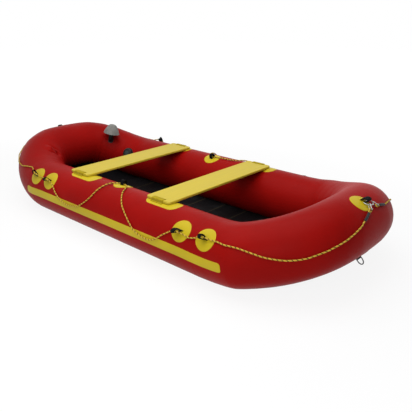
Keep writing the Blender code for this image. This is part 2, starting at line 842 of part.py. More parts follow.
# Rings that hang in loops
class Ring:
    """A closed ring with one straight side through its pivot and an arch below it."""

    def __init__(self, pivot, across, down, half_width, depth, rod):
        self.pivot = pivot
        self.across = across
        self.down = down
        self.half_width = half_width
        self.depth = depth
        self.rod = rod
        self.bend = ring_bend_factor * rod
        self.spring = max(depth - half_width, self.bend)

    def at(self, a, b):
        return self.pivot + self.across * a + self.down * b

    def line(self):
        half = [(self.half_width - self.bend, 0.0)]
        for step in (1, 2):
            turn = math.pi / 2 * step / 3
            a = self.half_width - self.bend + self.bend * math.sin(turn)
            half.append((a, self.bend * (1 - math.cos(turn))))
        half.append((self.half_width, self.bend))
        if self.spring > self.bend:
            half.append((self.half_width, self.spring))
        steps = 6
        for step in range(1, steps):
            turn = math.pi / 2 * step / steps
            rise = (self.depth - self.spring) * math.sin(turn)
            half.append((self.half_width * math.cos(turn), self.spring + rise))
        line = half + [(0.0, self.depth)] + [(-a, b) for a, b in half[::-1]]
        return [self.at(a, b) for a, b in line]

    def arch_place(self, degrees):
        """A place on the arch, at an angle from its lowest point."""
        turn = math.radians(degrees)
        rise = (self.depth - self.spring) * math.cos(turn)
        return self.at(self.half_width * math.sin(turn), self.spring + rise)

    def build(self, name):
        ring = bar_mesh(name, self.line(), self.rod, stainless, 2, True)
        return set_origin(ring, self.pivot)


def build_tow_ring():
    origin, along, around, normal = surface_frame(1, bow_run, tow_loop["angle"], patch_top)
    slack = tow_loop["inside"] - tow_ring_rod / 2 - ring_slack
    spring = tow_loop["clear"] - tow_loop["inside"]
    tilt = math.radians(tow_ring_tilt)
    down = Vector((math.sin(tilt), 0, -math.cos(tilt)))
    pivot = origin + normal * spring + (around * around.dot(down) + normal * normal.dot(down)) * slack
    Ring(pivot, along, down, tow_ring_half_width, tow_ring_depth, tow_ring_rod).build("tow_ring")


# Bow ring, shackles, pins, rope eyes, sleeves and the grab line
def build_shackle(name, hold, pin_at, axis):
    """A shackle from the ring's rod to its pin, whose axis lies in the shackle's plane."""
    pull = (pin_at - hold).normalized()
    half_gap = (shackle_inside + shackle_rod) / 2
    half_rod = shackle_rod / 2
    bow_centre = hold + pull * (shackle_inside / 2 - ring_rod / 2 - shackle_rest)
    steps = 8
    line = [pin_at + axis * half_gap]
    for step in range(steps + 1):
        turn = math.pi * step / steps
        line.append(bow_centre + (axis * math.cos(turn) - pull * math.sin(turn)) * half_gap)
    line.append(pin_at - axis * half_gap)
    shackle = bar_mesh(f"shackle_{name}", line, shackle_rod, stainless)
    for sign in (1, -1):
        ends = ((-half_rod, shackle_ear_radius), (half_rod, shackle_ear_radius))
        ear = post("ear", pin_at + axis * sign * half_gap, axis, ends, stainless, 12)
        combine(shackle, ear, "UNION")
    hole_radius = half_rod + pin_clearance
    ends = ((-2 * shackle_inside, hole_radius), (2 * shackle_inside, hole_radius))
    hole = post("hole", pin_at, axis, ends, stainless, 12)
    round_off(combine(shackle, hole, "DIFFERENCE"))
    return shackle


def build_shackle_pin(name, pin_at, axis):
    """A pin with a head and a flat tab to turn it by."""
    half_rod = shackle_rod / 2
    outer = shackle_inside / 2 + shackle_rod
    head_low = outer + seam
    profile = (
        (-outer, half_rod),
        (head_low, half_rod),
        (head_low, pin_head_radius),
        (head_low + pin_head_height, pin_head_radius),
    )
    pin = post(f"shackle_pin_{name}", pin_at, axis, profile, stainless, 12)
    tab_outline = rounded_rectangle(pin_tab_width, pin_tab_thickness, pin_tab_corner, 2)
    low = head_low + pin_head_height / 2
    outlines = [(low, tab_outline), (low + pin_tab_height, tab_outline)]
    tab = stack("tab", outlines, pin_at, axes_about(axis), stainless)
    return set_origin(round_off(combine(pin, tab, "UNION")), pin_at)


def eye_line(pin_at, pull, axis):
    """A rope eye's centreline: a wide round over the pin and a narrow one at its neck."""
    across = axis.cross(pull).normalized()
    slack = eye_round - eye_rope / 2 - shackle_rod / 2 - pin_clearance
    wide = pin_at + pull * slack
    narrow = pin_at + pull * eye_length
    lean = math.asin((eye_round - eye_neck) / (narrow - wide).length)
    line = []
    for centre, radius, first, sweep, steps in (
        (wide, eye_round, math.pi / 2 - lean, math.pi + 2 * lean, 9),
        (narrow, eye_neck, -math.pi / 2 + lean, math.pi - 2 * lean, 6),
    ):
        for step in range(steps + 1):
            turn = first + sweep * step / steps
            line.append(centre + (pull * math.cos(turn) + across * math.sin(turn)) * radius)
    return line


def climb_to_loops(side, even):
    """The rope's points over the tube, raised through the top of each side loop."""
    over = [tube_point(side, run, arc / arc_per_degree, rope_lift) for run, arc in even]
    runs = even[:, 0]
    height = side_loop["clear"] - rope_diameter / 2 - rope_gap
    for place, loop_run in side_loop_runs.items():
        origin, along, around, normal = surface_frame(side, loop_run, side_loop["angle"], patch_top)
        lean_along, lean_around = side_loop_leans[place]
        hold = origin + (normal + along * lean_along + around * lean_around) * height
        middle = loop_run + lean_along * height
        arc = float(np.interp(-middle, -runs, even[:, 1]))
        rise = hold - tube_point(side, middle, arc / arc_per_degree, rope_lift)
        for index, run in enumerate(runs):
            over[index] = over[index] + rise * math.exp(-(((run - middle) / rope_climb) ** 2))
    return over


def build_line(name, side, start, pull):
    """One side's rope: straight out of the eye into its sleeve, then over the tube to the stern."""
    route = bow_routes[name] + fore_route + middle_routes[name] + aft_route
    route += ((stern_run, stern_loop["angle"] - rope_stern_drop),)
    fine = 0.005
    coarse = 0.020
    even = spread([(run, angle * arc_per_degree) for run, angle in route], coarse)
    over = climb_to_loops(side, even)
    lead_in = [start, *(start + pull * reach for reach in rope_leads)]
    line = spread(lead_in + over, fine)
    line[-1][1] = side * 2 * seam
    cut = round(sleeve_length / fine)
    meet = line[cut]
    ahead = line[cut + 1] - line[cut - 1]
    ahead /= np.linalg.norm(ahead)
    covered = [*spread(line[: cut - 1], sleeve_length / 6), meet - ahead * rope_end, meet]
    sleeve = bar(f"rope_sleeve_{name}", covered, sleeve_diameter, black_rubber)
    beyond = thinned(line[cut + 4 :], rope_slack, rope_longest)
    rope = [meet + ahead * seam, meet + ahead * rope_end, *beyond]
    bar(f"grab_line_{name}", rope, rope_diameter, rope_yarn)
    return sleeve


def build_bow_gear():
    origin, along, around, normal = surface_frame(1, bow_run, bow_loop["angle"], patch_top)
    tilt = math.radians(ring_tilt)
    down = normal * math.sin(tilt) - around * math.cos(tilt)
    slack = bow_loop["inside"] - ring_rod / 2 - ring_slack
    pivot = origin - around * slack + normal * (ring_rod / 2 + ring_patch_gap)
    ring = Ring(pivot, Vector((0, 1, 0)), down, ring_half_width, ring_depth, ring_rod)
    carrier = ring.build("bow_ring")
    for name, side in sides.items():
        back, angle = bow_pins[name]
        pin_at = tube_point(side, bow_run - back, angle, pin_lift)
        hold = ring.arch_place(shackle_spread * side)
        pull = (pin_at - hold).normalized()
        outward = surface_frame(side, bow_run - back, angle)[3]
        axis = (outward - pull * outward.dot(pull)).normalized()
        first_run, first_angle = bow_routes[name][0]
        lead = tube_point(side, first_run, first_angle, rope_lift) - pin_at
        eye_pull = (lead - axis * lead.dot(axis)).normalized()
        eye = bar_mesh(f"rope_eye_{name}", eye_line(pin_at, eye_pull, axis), eye_rope, rope_yarn, 2, True)
        start = pin_at + eye_pull * (eye_length + eye_neck + eye_rope / 2 + seam)
        sleeve = build_line(name, side, start, eye_pull)
        shackle = build_shackle(name, hold, pin_at, axis)
        pin = build_shackle_pin(name, pin_at, axis)
        for piece in (shackle, pin, eye, sleeve):
            hang_on(piece, carrier)


# Inflation valves
def build_valve(name):
    side, run, angle = valve_places[name]
    origin, along, around, normal = surface_frame(side, run, angle)
    outline = circle(valve_flange_radius)
    body = skin_patch(f"valve_{name}", side, run, angle, outline, valve_flange_thickness, black_plastic)
    top = seam + valve_barrel_height
    profile = (
        (seam + valve_flange_thickness - weld, valve_barrel_radius),
        (top - valve_barrel_edge, valve_barrel_radius),
        (top, valve_barrel_radius - valve_barrel_edge),
    )
    round_off(combine(body, post("barrel", origin, normal, profile, black_plastic), "UNION"))

    low = top + seam
    grip = fluted_circle(valve_cap_radius, valve_cap_flutes, valve_cap_flute_depth)
    outlines = [(low, grip)]
    for step in range(3):
        turn = math.pi / 4 * step
        rise = valve_cap_crown * (1 - math.sin(turn))
        radius = valve_cap_top_radius + (valve_cap_radius - valve_cap_top_radius) * math.cos(turn)
        depth = valve_cap_flute_depth * math.cos(turn)
        outlines.append((low + valve_cap_height - rise, fluted_circle(radius, valve_cap_flutes, depth)))
    cap = stack(f"valve_cap_{name}", outlines, origin, axes_about(normal), black_plastic)
    set_origin(cap, origin + normal * top)


# Relief valve
def neck_line(foot, knee, up, normal):
    """Centreline of the neck: out along the hull's normal, round a bend, and up along the bell's axis."""
    full = normal.angle(up)
    reach = neck_bend * math.tan(full / 2)
    bend_start = knee - normal * reach
    inward = (up - normal * up.dot(normal)).normalized()
    hub = bend_start + inward * neck_bend
    turn_axis = normal.cross(up).normalized()
    line = [foot]
    steps = 5
    for step in range(steps + 1):
        line.append(hub + Matrix.Rotation(full * step / steps, 3, turn_axis) @ (bend_start - hub))
    line.append(knee + up * neck_up)
    return line


def build_relief_valve():
    side, run, angle = relief_place
    origin, along, around, normal = surface_frame(side, run, angle)
    lean = math.radians(bell_lean)
    towards = math.radians(bell_lean_towards)
    up = Vector((math.sin(lean) * math.cos(towards), math.sin(lean) * math.sin(towards), math.cos(lean)))
    knee = origin + normal * neck_out
    foot = origin + normal * (seam + relief_flange_thickness / 2)
    outline = circle(relief_flange_radius)
    flange = skin_patch("relief_neck", side, run, angle, outline, relief_flange_thickness, black_plastic)
    neck = bar_mesh("neck", neck_line(foot, knee, up, normal), 2 * neck_radius, black_plastic, 4)
    round_off(combine(flange, neck, "UNION"))

    roof = neck_up + seam
    apex = roof + bell_roof
    spans = (0.0, 0.04, 0.14, 0.35, 0.65, 1.0)
    outlines = []
    for share in spans:
        radius = bell_top_radius + (bell_rim_radius - bell_top_radius) * share**bell_curve
        grooves = bell_flute_depth * share**bell_flute_growth
        outlines.append((apex - bell_height * share, fluted_circle(radius, bell_flutes, grooves)))
    for share in spans[:2:-1]:
        radius = bell_top_radius + (bell_rim_radius - bell_top_radius) * share**bell_curve
        outlines.append((apex - bell_height * share, fluted_circle(radius - bell_wall, bell_flutes, 0.0)))
    outlines.append((roof, fluted_circle(neck_radius + bell_wall, bell_flutes, 0.0)))
    bell = stack("relief_bell", outlines, knee, axes_about(up), grey_plastic)
    set_origin(bell, knee + up * neck_up)


build_chambers()
build_bottom()
build_floor()
for thwart in thwart_x:
    build_thwart(thwart)
    build_thwart_fastenings(thwart)
build_strakes()
build_loops()
build_tow_ring()
build_bow_gear()
for valve in valve_places:
    build_valve(valve)
build_relief_valve()
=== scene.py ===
import math

import bmesh
import bpy
import numpy as np
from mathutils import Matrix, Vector
from mathutils.bvhtree import BVHTree


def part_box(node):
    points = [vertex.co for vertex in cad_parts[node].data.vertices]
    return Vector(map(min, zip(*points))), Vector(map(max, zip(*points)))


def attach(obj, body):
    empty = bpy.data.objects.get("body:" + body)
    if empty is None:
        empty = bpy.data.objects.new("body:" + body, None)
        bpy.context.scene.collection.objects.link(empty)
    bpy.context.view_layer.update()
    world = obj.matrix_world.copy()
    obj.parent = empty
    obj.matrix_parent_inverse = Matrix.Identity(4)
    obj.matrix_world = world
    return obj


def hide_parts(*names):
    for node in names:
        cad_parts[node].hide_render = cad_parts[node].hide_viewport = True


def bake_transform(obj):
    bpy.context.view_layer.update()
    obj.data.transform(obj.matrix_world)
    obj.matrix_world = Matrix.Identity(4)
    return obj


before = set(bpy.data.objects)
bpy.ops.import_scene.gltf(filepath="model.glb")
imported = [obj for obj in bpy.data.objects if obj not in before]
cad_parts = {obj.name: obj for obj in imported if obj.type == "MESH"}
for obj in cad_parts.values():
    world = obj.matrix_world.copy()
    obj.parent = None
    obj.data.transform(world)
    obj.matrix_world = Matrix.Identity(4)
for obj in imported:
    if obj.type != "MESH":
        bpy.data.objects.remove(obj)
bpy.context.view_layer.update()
scene = bpy.context.scene
sides = {"port": 1, "starboard": -1}

# Camera, at the photograph's angle
camera = {"focal": 506.5, "azimuth": 42.09, "elevation": 21.24, "distance": 4.286,
          "target": (0.3568, -0.0148, 0.2100), "sensor": 36.0, "pixels": 412}


def addCamera():
    turn, tilt = math.radians(camera["azimuth"]), math.radians(camera["elevation"])
    back = Vector((math.sin(turn) * math.cos(tilt), -math.cos(turn) * math.cos(tilt), math.sin(tilt)))
    lens = bpy.data.cameras.new("photoCamera")
    lens.sensor_width = camera["sensor"]
    lens.lens = camera["focal"] * camera["sensor"] / camera["pixels"]
    lens.clip_end = 100
    seat = bpy.data.objects.new("photoCamera", lens)
    seat.location = Vector(camera["target"]) + back * camera["distance"]
    seat.rotation_mode = "QUATERNION"
    seat.rotation_quaternion = (-back).to_track_quat("-Z", "Y")
    scene.collection.objects.link(seat)
    scene.camera = seat


addCamera()
scene.view_settings.view_transform = "Standard"

# Tube, as the frame has it
hull = {"tubeRadius": 0.220, "halfBeam": 0.598, "sideLength": 1.975, "bowRamp": 0.245, "bowLength": 0.447,
        "bowFullness": 0.604, "bowRise": 0.183, "bowEase": 0.60, "sternLength": 0.596, "sternReach": 1.378,
        "sternFullness": 0.578, "sternRise": 0.175, "gores": 8, "facets": 32}
tubeRadius = hull["tubeRadius"]
facetTurn = 360 / hull["facets"]
arcPerDegree = math.radians(1) * tubeRadius
hullLength = 2 * tubeRadius + hull["sternLength"] + hull["sideLength"] + hull["bowRamp"] + hull["bowLength"]
aftKnuckle = -hullLength / 2 + tubeRadius + hull["sternLength"]
foreKnuckle = aftKnuckle + hull["sideLength"]


def endCurve(length, reach, fullness, ease):
    line = []
    for gore in range(1, hull["gores"] + 1):
        turn = math.pi / 2 * (gore / hull["gores"]) ** ease
        across = max(math.cos(turn), 0) ** fullness if gore < hull["gores"] else 0
        line.append((length * math.sin(turn) ** reach, across))
    return line


def centreLine():
    stern = []
    for out, across in endCurve(hull["sternLength"], hull["sternReach"], hull["sternFullness"], 1):
        rise = hull["sternRise"] * (out / hull["sternLength"]) ** 2
        stern.append((aftKnuckle - out, hull["halfBeam"] * across, tubeRadius + rise))
    line = stern[::-1]
    line += [(x, hull["halfBeam"], tubeRadius) for x in (aftKnuckle, foreKnuckle)]
    bow = [(hull["bowRamp"] * share, 1) for share in (0.5, 1)]
    for out, across in endCurve(hull["bowLength"], 2, hull["bowFullness"], hull["bowEase"]):
        bow.append((hull["bowRamp"] + out, across))
    for out, across in bow:
        rise = hull["bowRise"] * (out / (hull["bowRamp"] + hull["bowLength"])) ** 2
        line.append((foreKnuckle + out, hull["halfBeam"] * across, tubeRadius + rise))
    return [Vector(point) for point in line]


path = centreLine()
heading = [(b - a).normalized() for a, b in zip(path, path[1:])]
stride = [(b - a).length for a, b in zip(path, path[1:])]
straight = hull["gores"]
lastStation = len(path) - 1


def measureRuns():
    runs = [0] * len(path)
    runs[straight] = aftKnuckle
    for station in range(straight + 1, len(path)):
        runs[station] = runs[station - 1] + stride[station - 1]
    for station in range(straight - 1, -1, -1):
        runs[station] = runs[station + 1] - stride[station]
    return runs


def carryFrames():
    carried = [None] * len(heading)
    carried[straight] = (Vector((0, 1, 0)), Vector((0, 0, 1)))
    for k in range(straight + 1, len(heading)):
        turn = heading[k - 1].rotation_difference(heading[k])
        carried[k] = tuple(turn @ axis for axis in carried[k - 1])
    for k in range(straight - 1, -1, -1):
        turn = heading[k + 1].rotation_difference(heading[k])
        carried[k] = tuple(turn @ axis for axis in carried[k + 1])
    return carried


runAt = measureRuns()
sternRun, bowRun = runAt[0], runAt[-1]
carried = carryFrames()
middleRuns = [(a + b) / 2 for a, b in zip(runAt, runAt[1:])]
middleRolls = [math.degrees(math.atan2(out.z, math.hypot(out.x, out.y))) for out, up in carried]


def rollAt(run):
    return float(np.interp(run, middleRuns, middleRolls))


def ringCorner(station, turn, radius):
    k = min(station, len(heading) - 1)
    out, up = carried[k]
    point = path[station] + (out * math.cos(turn) + up * math.sin(turn)) * radius
    if station in (0, lastStation):
        normal = Vector((0, 1, 0))
    else:
        normal = (heading[station - 1] + heading[station]).normalized()
    return point + heading[k] * ((path[station] - point).dot(normal) / heading[k].dot(normal))


def foldRun(side, run):
    if run > bowRun:
        return -side, 2 * bowRun - run
    if run < sternRun:
        return -side, 2 * sternRun - run
    return side, run


def facetPoint(station, seamAngle, radius):
    low = math.floor(seamAngle / facetTurn + 1e-9)
    first = ringCorner(station, math.radians(low * facetTurn), radius)
    second = ringCorner(station, math.radians((low + 1) * facetTurn), radius)
    return first.lerp(second, seamAngle / facetTurn - low)


def stretchOf(run):
    k = 0
    while k < len(heading) - 1 and run > runAt[k + 1]:
        k += 1
    return k, (run - runAt[k]) / stride[k]


def tubePoint(side, run, angle, lift=0):
    side, run = foldRun(side, run)
    k, share = stretchOf(run)
    seamAngle = angle - rollAt(run)
    start = facetPoint(k, seamAngle, tubeRadius + lift)
    point = start.lerp(facetPoint(k + 1, seamAngle, tubeRadius + lift), share)
    return Vector((point.x, side * point.y, point.z))


def tubeFrame(side, run, angle):
    origin = tubePoint(side, run, angle)
    along = (tubePoint(side, run + 0.004, angle) - tubePoint(side, run - 0.004, angle)).normalized()
    around = tubePoint(side, run, angle + facetTurn) - tubePoint(side, run, angle - facetTurn)
    around = (around - along * around.dot(along)).normalized()
    normal = along.cross(around)
    if normal.dot(tubePoint(side, run, angle, tubeRadius / 4) - origin) < 0:
        normal.negate()
    return origin, along, around, normal


# Points along curves
curveSteps = 24


def evenLine(points, spacing):
    given = [np.array(point, float) for point in points]
    ends = [2 * given[0] - given[1]] + given + [2 * given[-1] - given[-2]]
    dense = []
    for a, b, c, d in zip(ends, ends[1:], ends[2:], ends[3:]):
        for t in np.linspace(0, 1, curveSteps, endpoint=False):
            bend = (2 * a - 5 * b + 4 * c - d) * t**2 + (3 * b - a - 3 * c + d) * t**3
            dense.append(b + ((c - a) * t + bend) / 2)
    dense = np.array(dense + [given[-1]])
    travel = np.concatenate([[0], np.cumsum(np.linalg.norm(np.diff(dense, axis=0), axis=1))])
    wanted = np.linspace(0, travel[-1], max(2, round(travel[-1] / spacing) + 1))
    return np.array([np.interp(wanted, travel, column) for column in dense.T]).T


def lineLength(line):
    return float(np.linalg.norm(np.diff(np.array(line), axis=0), axis=1).sum())


# Shader helper: expressions on values add Math nodes
class Value:
    def __init__(self, paint, socket):
        self.paint, self.socket = paint, socket

    def math(self, operation, *others):
        inputs = dict(enumerate((self, *others)))
        return self.paint.node("ShaderNodeMath", {"operation": operation}, inputs)

    def __add__(self, other):
        return self.math("ADD", other)

    def __mul__(self, other):
        return self.math("MULTIPLY", other)

    __radd__, __rmul__ = __add__, __mul__

    def __sub__(self, other):
        return self.math("SUBTRACT", other)

    def __rsub__(self, other):
        return self.math("MULTIPLY", -1).math("ADD", other)

    def __truediv__(self, other):
        return self.math("DIVIDE", other)

    def __rtruediv__(self, other):
        return self.math("POWER", -1) * other

    def clamp(self, low, high):
        return self.math("MAXIMUM", low).math("MINIMUM", high)


class Paint:
    def __init__(self, name, colour, roughness, **fixed):
        self.material = bpy.data.materials.new(name)
        self.material.use_nodes = True
        self.tree = self.material.node_tree
        self.shader = self.tree.nodes["Principled BSDF"]
        self.colour = (*colour, 1)
        self.shader.inputs["Base Color"].default_value = self.colour
        self.shader.inputs["Roughness"].default_value = roughness
        for key, value in fixed.items():
            self.shader.inputs[key.replace("_", " ")].default_value = value
        self.material.diffuse_color = self.colour

    def node(self, kind, settings=None, sockets=None, output=0):
        made = self.tree.nodes.new(kind)
        for key, value in (settings or {}).items():
            if key == "stops":
                ramp = made.color_ramp.elements
                while len(ramp) < len(value):
                    ramp.new(0.5)
                for element, (place, level) in zip(ramp, value):
                    element.position = place
                    element.color = (level, level, level, 1)
            else:
                setattr(made, key, value)
        for key, value in (sockets or {}).items():
            self.feed(made.inputs[key], value)
        return Value(self, made.outputs[output])

    def feed(self, socket, value):
        if isinstance(value, Value):
            self.tree.links.new(value.socket, socket)
        else:
            socket.default_value = value

    def place(self):
        return self.node("ShaderNodeTexCoord", output="Object")

    def uv(self):
        return self.node("ShaderNodeUVMap", {"uv_map": "surface"})

    def split(self, vector):
        parts = self.tree.nodes.new("ShaderNodeSeparateXYZ")
        self.feed(parts.inputs[0], vector)
        return [Value(self, parts.outputs[axis]) for axis in "XYZ"]

    def stretch(self, vector, scale):
        return self.node("ShaderNodeVectorMath", {"operation": "MULTIPLY"}, {0: vector, 1: scale})

    def noise(self, scale, detail=2, roughness=0.5, where=None):
        sockets = {"Vector": where or self.place(), "Scale": scale, "Detail": detail, "Roughness": roughness}
        return self.node("ShaderNodeTexNoise", None, sockets)

    def cells(self, scale, where=None):
        return self.node("ShaderNodeTexVoronoi", None, {"Vector": where or self.place(), "Scale": scale})

    def ramp(self, value, *stops):
        return self.node("ShaderNodeValToRGB", {"stops": stops}, {0: value})

    def mix(self, factor, first, second):
        first, second = (v if isinstance(v, Value) else (*v[:3], 1) for v in (first, second))
        return self.node("ShaderNodeMix", {"data_type": "RGBA"}, {0: factor, 6: first, 7: second}, 2)

    def shade(self, share):
        return tuple(min(channel * share, 1) for channel in self.colour[:3])

    def bump(self, height, strength, distance, under=None):
        sockets = {"Height": height, "Strength": strength, "Distance": distance}
        if under is not None:
            sockets["Normal"] = under
        return self.node("ShaderNodeBump", None, sockets)

    def show(self, **values):
        for key, value in values.items():
            self.feed(self.shader.inputs[key.replace("_", " ")], value)
        return self.material


# Finishes
def weave(paint, pitch):
    u, v = paint.split(paint.uv())[:2]
    warp = (u * (2 * math.pi / pitch)).math("SINE")
    weft = (v * (2 * math.pi / pitch)).math("SINE")
    return warp * weft


# In each look: noise is scale, detail and roughness, and a bump is strength and depth
fabricLook = {"roughness": 0.42, "clouds": (2.3, 3), "cloudStops": ((0.35, 0), (0.7, 1)),
              "shades": (0.88, 1.10), "grain": (38, 4, 0.6), "scuffs": (9, 6, 0.75),
              "scuffStops": ((0.60, 0), (0.72, 1)),
              "scuffShade": 1.35, "thread": 0.0011, "threadBump": (0.10, 0.0004), "ripples": (5.5, 2),
              "rippleBump": (0.22, 0.012), "grainBump": (0.10, 0.0012)}


def coatedFabric(name, colour, mottle, dust, shine=0.16):
    look = fabricLook
    paint = Paint(name, colour, look["roughness"], Specular_IOR_Level=shine)
    broad = paint.noise(*look["clouds"])
    fine = paint.noise(*look["grain"])
    clouds = paint.ramp(broad, *look["cloudStops"])
    colourNow = paint.mix(clouds * mottle, *[paint.shade(share) for share in look["shades"]])
    scuffs = paint.ramp(paint.noise(*look["scuffs"]), *look["scuffStops"])
    colourNow = paint.mix(scuffs * dust, colourNow, paint.shade(look["scuffShade"]))
    threads = paint.bump(weave(paint, look["thread"]), *look["threadBump"])
    ripples = paint.bump(paint.noise(*look["ripples"]), *look["rippleBump"], threads)
    orange = paint.bump(fine, *look["grainBump"], ripples)
    return paint.show(Base_Color=colourNow, Roughness=0.36 + fine * 0.10 + scuffs * 0.08, Normal=orange)


webbingLook = {"roughness": 0.72, "pitch": 0.0022, "wave": 1.4, "shades": (0.75, 1.2), "worn": (55, 4, 0.7),
               "wornStops": ((0.5, 0), (0.75, 1)), "wornShare": 0.25, "wornShade": 1.8, "bump": (0.5, 0.0005)}


def webbing(name, colour, shine=0.12):
    look = webbingLook
    pitch = look["pitch"]
    paint = Paint(name, colour, look["roughness"], Specular_IOR_Level=shine)
    u, v = paint.split(paint.uv())[:2]
    ribs = (u * (2 * math.pi / pitch) + (v * (math.pi / pitch)).math("SINE") * look["wave"]).math("SINE")
    worn = paint.ramp(paint.noise(*look["worn"]), *look["wornStops"])
    colourNow = paint.mix(ribs * 0.3 + 0.3, *[paint.shade(share) for share in look["shades"]])
    colourNow = paint.mix(worn * look["wornShare"], colourNow, paint.shade(look["wornShade"]))
    return paint.show(Base_Color=colourNow, Normal=paint.bump(ribs, *look["bump"]))


boardLook = {"colour": (0.600, 0.462, 0.042), "roughness": 0.42, "shine": 0.12, "shades": (0.9, 1.14),
             "grainStretch": (14, 0.9, 14), "grain": (4, 5, 0.62), "bump": (0.12, 0.0009),
             "speckle": (260, 2), "speckleStops": ((0.60, 0), (0.70, 1)), "speckleShare": 0.14,
             "speckleColour": (0.45, 0.33, 0.06), "scratchStretch": (3, 60, 3), "scratches": (6, 3, 0.6),
             "scratchStops": ((0.66, 0), (0.70, 1)), "scratchShare": 0.22,
             "scratchColour": (0.76, 0.62, 0.17)}


def thwartBoard():
    look = boardLook
    paint = Paint("thwartBoard", look["colour"], look["roughness"], Specular_IOR_Level=look["shine"])
    grain = paint.noise(*look["grain"], paint.stretch(paint.place(), look["grainStretch"]))
    speckle = paint.ramp(paint.noise(*look["speckle"]), *look["speckleStops"])
    scratchPlace = paint.stretch(paint.place(), look["scratchStretch"])
    scratches = paint.ramp(paint.noise(*look["scratches"], scratchPlace), *look["scratchStops"])
    colourNow = paint.mix(grain, *[paint.shade(share) for share in look["shades"]])
    colourNow = paint.mix(speckle * look["speckleShare"], colourNow, look["speckleColour"])
    colourNow = paint.mix(scratches * look["scratchShare"], colourNow, look["scratchColour"])
    relief = paint.bump(grain, *look["bump"])
    return paint.show(Base_Color=colourNow, Roughness=0.36 + grain * 0.16, Normal=relief)


def floorFinish(name, colour, pebble):
    paint = Paint(name, colour, 0.5, Specular_IOR_Level=0.10)
    grit = paint.cells(pebble)
    worn = paint.ramp(paint.noise(7, 5, 0.7), (0.48, 0), (0.72, 1))
    colourNow = paint.mix(worn * 0.6, paint.colour, paint.shade(2.6))
    return paint.show(Base_Color=colourNow, Roughness=0.42 + worn * 0.25,
                      Normal=paint.bump(grit, 0.35, 0.0012))


def metalFinish(name, colour, roughness):
    paint = Paint(name, colour, roughness, Metallic=1.0)
    brushed = paint.noise(90, 3, 0.6, paint.stretch(paint.place(), (1, 7, 7)))
    tarnish = paint.ramp(paint.noise(60, 5, 0.7), (0.5, 0), (0.8, 1))
    colourNow = paint.mix(tarnish * 0.5, paint.colour, (0.34, 0.31, 0.26))
    return paint.show(Base_Color=colourNow, Roughness=roughness - 0.06 + brushed * 0.18 + tarnish * 0.15,
                      Normal=paint.bump(brushed, 0.1, 0.0003))


def mouldedPlastic(name, colour, roughness, blotch=0.3):
    paint = Paint(name, colour, roughness, Specular_IOR_Level=0.22)
    grain = paint.noise(420, 3, 0.6)
    smear = paint.ramp(paint.noise(24, 5, 0.7), (0.42, 0), (0.7, 1))
    colourNow = paint.mix(smear * blotch, paint.colour, paint.shade(0.45))
    return paint.show(Base_Color=colourNow, Roughness=roughness - 0.05 + smear * 0.15,
                      Normal=paint.bump(grain, 0.2, 0.0004))


yarnLook = {"colour": (0.72, 0.47, 0.055), "roughness": 0.75, "shine": 0.15, "strands": 3, "yarns": 5,
            "twist": 1.1, "fleck": 0.27, "fleckColour": (0.060, 0.036, 0.012), "fuzz": (900, 2),
            "fuzzShare": 0.25, "fuzzColour": (0.34, 0.25, 0.04), "bump": (0.5, 0.0005)}


def ropeYarn():
    look = yarnLook
    paint = Paint("ropeYarn", look["colour"], look["roughness"], Specular_IOR_Level=look["shine"])
    u, v = paint.split(paint.uv())[:2]
    strand = v * look["strands"]
    dark = v.math("FRACT").math("LESS_THAN", look["fleck"])
    yarns = (strand * (2 * math.pi * look["yarns"]) + u * (2 * math.pi * look["twist"])).math("SINE")
    colourNow = paint.mix(dark, paint.colour, look["fleckColour"])
    fuzz = paint.noise(*look["fuzz"])
    colourNow = paint.mix(fuzz * look["fuzzShare"], colourNow, look["fuzzColour"])
    return paint.show(Base_Color=colourNow, Roughness=0.66 + fuzz * 0.2,
                      Normal=paint.bump(yarns, *look["bump"]))


def rubberSleeve():
    paint = Paint("rubberSleeve", (0.016, 0.016, 0.018), 0.5, Specular_IOR_Level=0.2)
    creases = paint.noise(70, 4, 0.6)
    return paint.show(Roughness=0.4 + creases * 0.3, Normal=paint.bump(creases, 0.4, 0.0015))


redFabric = coatedFabric("redCoatedFabric", (0.325, 0.0052, 0.0038), 0.8, 0.12, 0.035)
yellowFabric = coatedFabric("yellowCoatedFabric", (0.62, 0.47, 0.012), 0.7, 0.25)
bottomFabric = coatedFabric("blackBottomFabric", (0.006, 0.006, 0.007), 0.6, 0.4, 0.08)
blackWebbing = webbing("blackWebbing", (0.0045, 0.0045, 0.005), 0.05)
# the straps' yellow is darker than the fabric's: painted shade, as on their shaded end faces
yellowWebbing = webbing("yellowWebbing", (0.47, 0.345, 0.010))
yellowBoard = thwartBoard()
blackBoard = floorFinish("blackFloorBoard", (0.0045, 0.005, 0.0055), 500)
# finish of the pale bars on the floor boards' edges: a painted highlight
edgeHighlight = mouldedPlastic("boardEdgeStrip", (0.085, 0.070, 0.035), 0.5)
stainless = metalFinish("stainlessSteel", (0.40, 0.41, 0.40), 0.22)
# tow ring steel: its dark colour is a painted reflection of the dark underside round it
dullSteel = metalFinish("dullSteel", (0.085, 0.088, 0.090), 0.38)
blackPlastic = mouldedPlastic("blackMouldedPlastic", (0.0090, 0.0100, 0.0098), 0.42)
valveGrey = mouldedPlastic("valveGreyPlastic", (0.030, 0.048, 0.045), 0.45)
bellGrey = mouldedPlastic("bellGreyPlastic", (0.245, 0.243, 0.222), 0.5, 0.6)
ropeFinish = ropeYarn()
sleeveRubber = rubberSleeve()
threadYellow = mouldedPlastic("paleThread", (0.62, 0.52, 0.20), 0.7)
print("finishes made")


